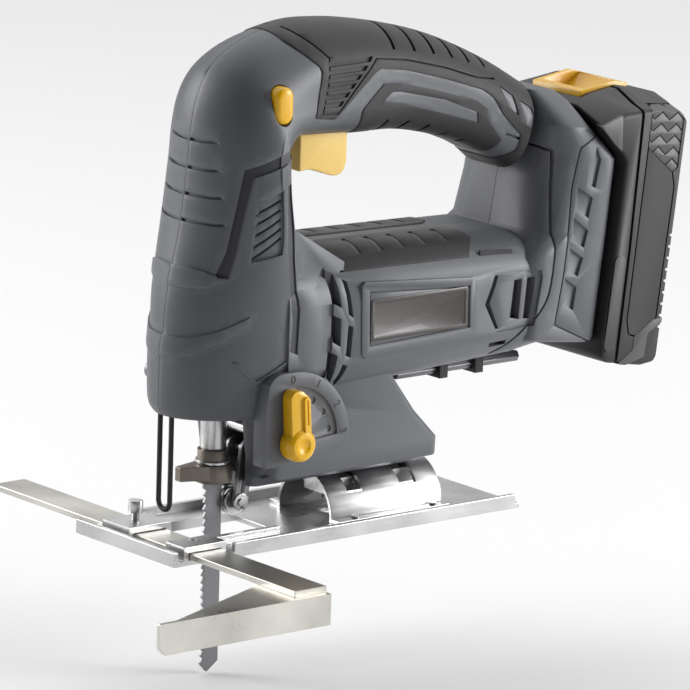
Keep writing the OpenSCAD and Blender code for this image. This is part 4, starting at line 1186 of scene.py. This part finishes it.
class JIGSAW_OT_stage(bpy.types.Operator):
    """Sets the floor, the soft lights and the camera"""
    bl_idname = "jigsaw.stage"
    bl_label = "Studio"

    def execute(self, context):
        scene = context.scene
        scene.view_settings.view_transform = "Standard"
        scene.view_settings.look = "Medium Contrast"
        deselect()
        bpy.ops.mesh.primitive_plane_add(size=9, location=(0, 0, 0))
        floor = bpy.context.object
        floor.name = "studio_floor"
        edit_all(floor)
        bpy.ops.transform.translate(value=(0, 0, FLOOR_Z))
        leave()
        mat, tree, shader = new_material("floor", (0.86, 0.86, 0.86), 0.9)
        floor.data.materials.append(mat)
        self.surroundings(scene)
        lamps = (("side", (1.45, -1.15, 0.45), 0.8, 27.0), ("rim", (-0.85, 1.3, 0.55), 0.8, 13.0))
        for name, at, size, watts in lamps:
            data = bpy.data.lights.new(name, "AREA")
            data.size = size
            data.energy = watts
            lamp = bpy.data.objects.new(name, data)
            context.collection.objects.link(lamp)
            lamp.location = at
            aim = Vector((0.02, 0, 0.08)) - Vector(at)
            lamp.rotation_euler = aim.to_track_quat("-Z", "Y").to_euler()
        self.camera(scene)
        return {"FINISHED"}

    @staticmethod
    def surroundings(scene):
        """White surroundings that fall to grey on the viewer's side, which shapes the mouldings."""
        world = bpy.data.worlds.new("studio")
        world.use_nodes = True
        tree = world.node_tree
        background = tree.nodes["Background"]
        background.inputs["Color"].default_value = (1, 1, 1, 1)
        way = tree.nodes.new("ShaderNodeTexCoord")
        facing = tree.nodes.new("ShaderNodeVectorMath")
        facing.operation = "DOT_PRODUCT"
        facing.inputs[1].default_value = (-0.69, -0.68, 0.22)
        tree.links.new(way.outputs["Generated"], facing.inputs[0])
        height = tree.nodes.new("ShaderNodeSeparateXYZ")
        tree.links.new(way.outputs["Generated"], height.inputs["Vector"])
        level = tree.nodes.new("ShaderNodeMath")
        level.operation = "MULTIPLY"
        tree.links.new(ramp(tree, facing.outputs["Value"], 1.0, 0.04, -0.1, 0.6), level.inputs[0])
        tree.links.new(ramp(tree, height.outputs["Z"], 0.3, 1.62, 0.15, 0.65), level.inputs[1])
        tree.links.new(level.outputs[0], background.inputs["Strength"])
        scene.world = world

    @staticmethod
    def camera(scene):
        """A long lens, turned so that the sole's centre sits low and left of the middle."""
        turn, lift, roll, focal = math.radians(38.8), math.radians(14.56), math.radians(1.6), 6400
        away = Vector((-math.sin(turn) * math.cos(lift), -math.cos(turn) * math.cos(lift),
                       math.sin(lift)))
        right = Vector((math.cos(turn), -math.sin(turn), 0))
        up = right.cross(-away)
        x_axis = right * math.cos(roll) + up * math.sin(roll)
        y_axis = -right * math.sin(roll) + up * math.cos(roll)
        turned = Matrix((x_axis, y_axis, away)).transposed()
        towards = Vector((-45, -175, -focal)).normalized()
        turned = turned @ towards.rotation_difference(Vector((0, 0, -1))).to_matrix()
        data = bpy.data.cameras.new("view")
        data.sensor_width = 36
        data.lens = 36 * focal / 690
        data.clip_end = 20
        camera = bpy.data.objects.new("view", data)
        scene.collection.objects.link(camera)
        camera.matrix_world = Matrix.Translation(away * 2.481) @ turned.to_4x4()
        scene.camera = camera


class JIGSAW_PT_panel(bpy.types.Panel):
    """Lists the jigsaw's pieces in the order they are made"""
    bl_idname = "JIGSAW_PT_panel"
    bl_label = "Cordless Jigsaw"
    bl_space_type = "VIEW_3D"
    bl_region_type = "UI"
    bl_category = "Jigsaw"

    def draw(self, context):
        for group in (context.scene.jigsaw_sizes, context.scene.jigsaw_colours):
            for key in group.__annotations__:
                self.layout.prop(group, key)
        for operator in OPERATORS:
            self.layout.operator(operator.bl_idname)


OPERATORS = (JIGSAW_OT_finishes, JIGSAW_OT_stage, JIGSAW_OT_housing, JIGSAW_OT_grips,
             JIGSAW_OT_pads, JIGSAW_OT_dial, JIGSAW_OT_buttons, JIGSAW_OT_battery,
             JIGSAW_OT_metalwork)
CLASSES = (JigsawSizes, JigsawColours, *OPERATORS, JIGSAW_PT_panel)


def register():
    for cls in CLASSES:
        bpy.utils.register_class(cls)
    bpy.types.Scene.jigsaw_sizes = bpy.props.PointerProperty(type=JigsawSizes)
    bpy.types.Scene.jigsaw_colours = bpy.props.PointerProperty(type=JigsawColours)


def unregister():
    del bpy.types.Scene.jigsaw_colours
    del bpy.types.Scene.jigsaw_sizes
    for cls in reversed(CLASSES):
        bpy.utils.unregister_class(cls)


def main():
    register()
    for operator in OPERATORS:
        name = operator.bl_idname.split(".")[1]
        result = getattr(bpy.ops.jigsaw, name)()
        if result != {"FINISHED"}:
            raise RuntimeError(f"{name} did not finish")
    deselect()


if __name__ == "__main__":
    main()
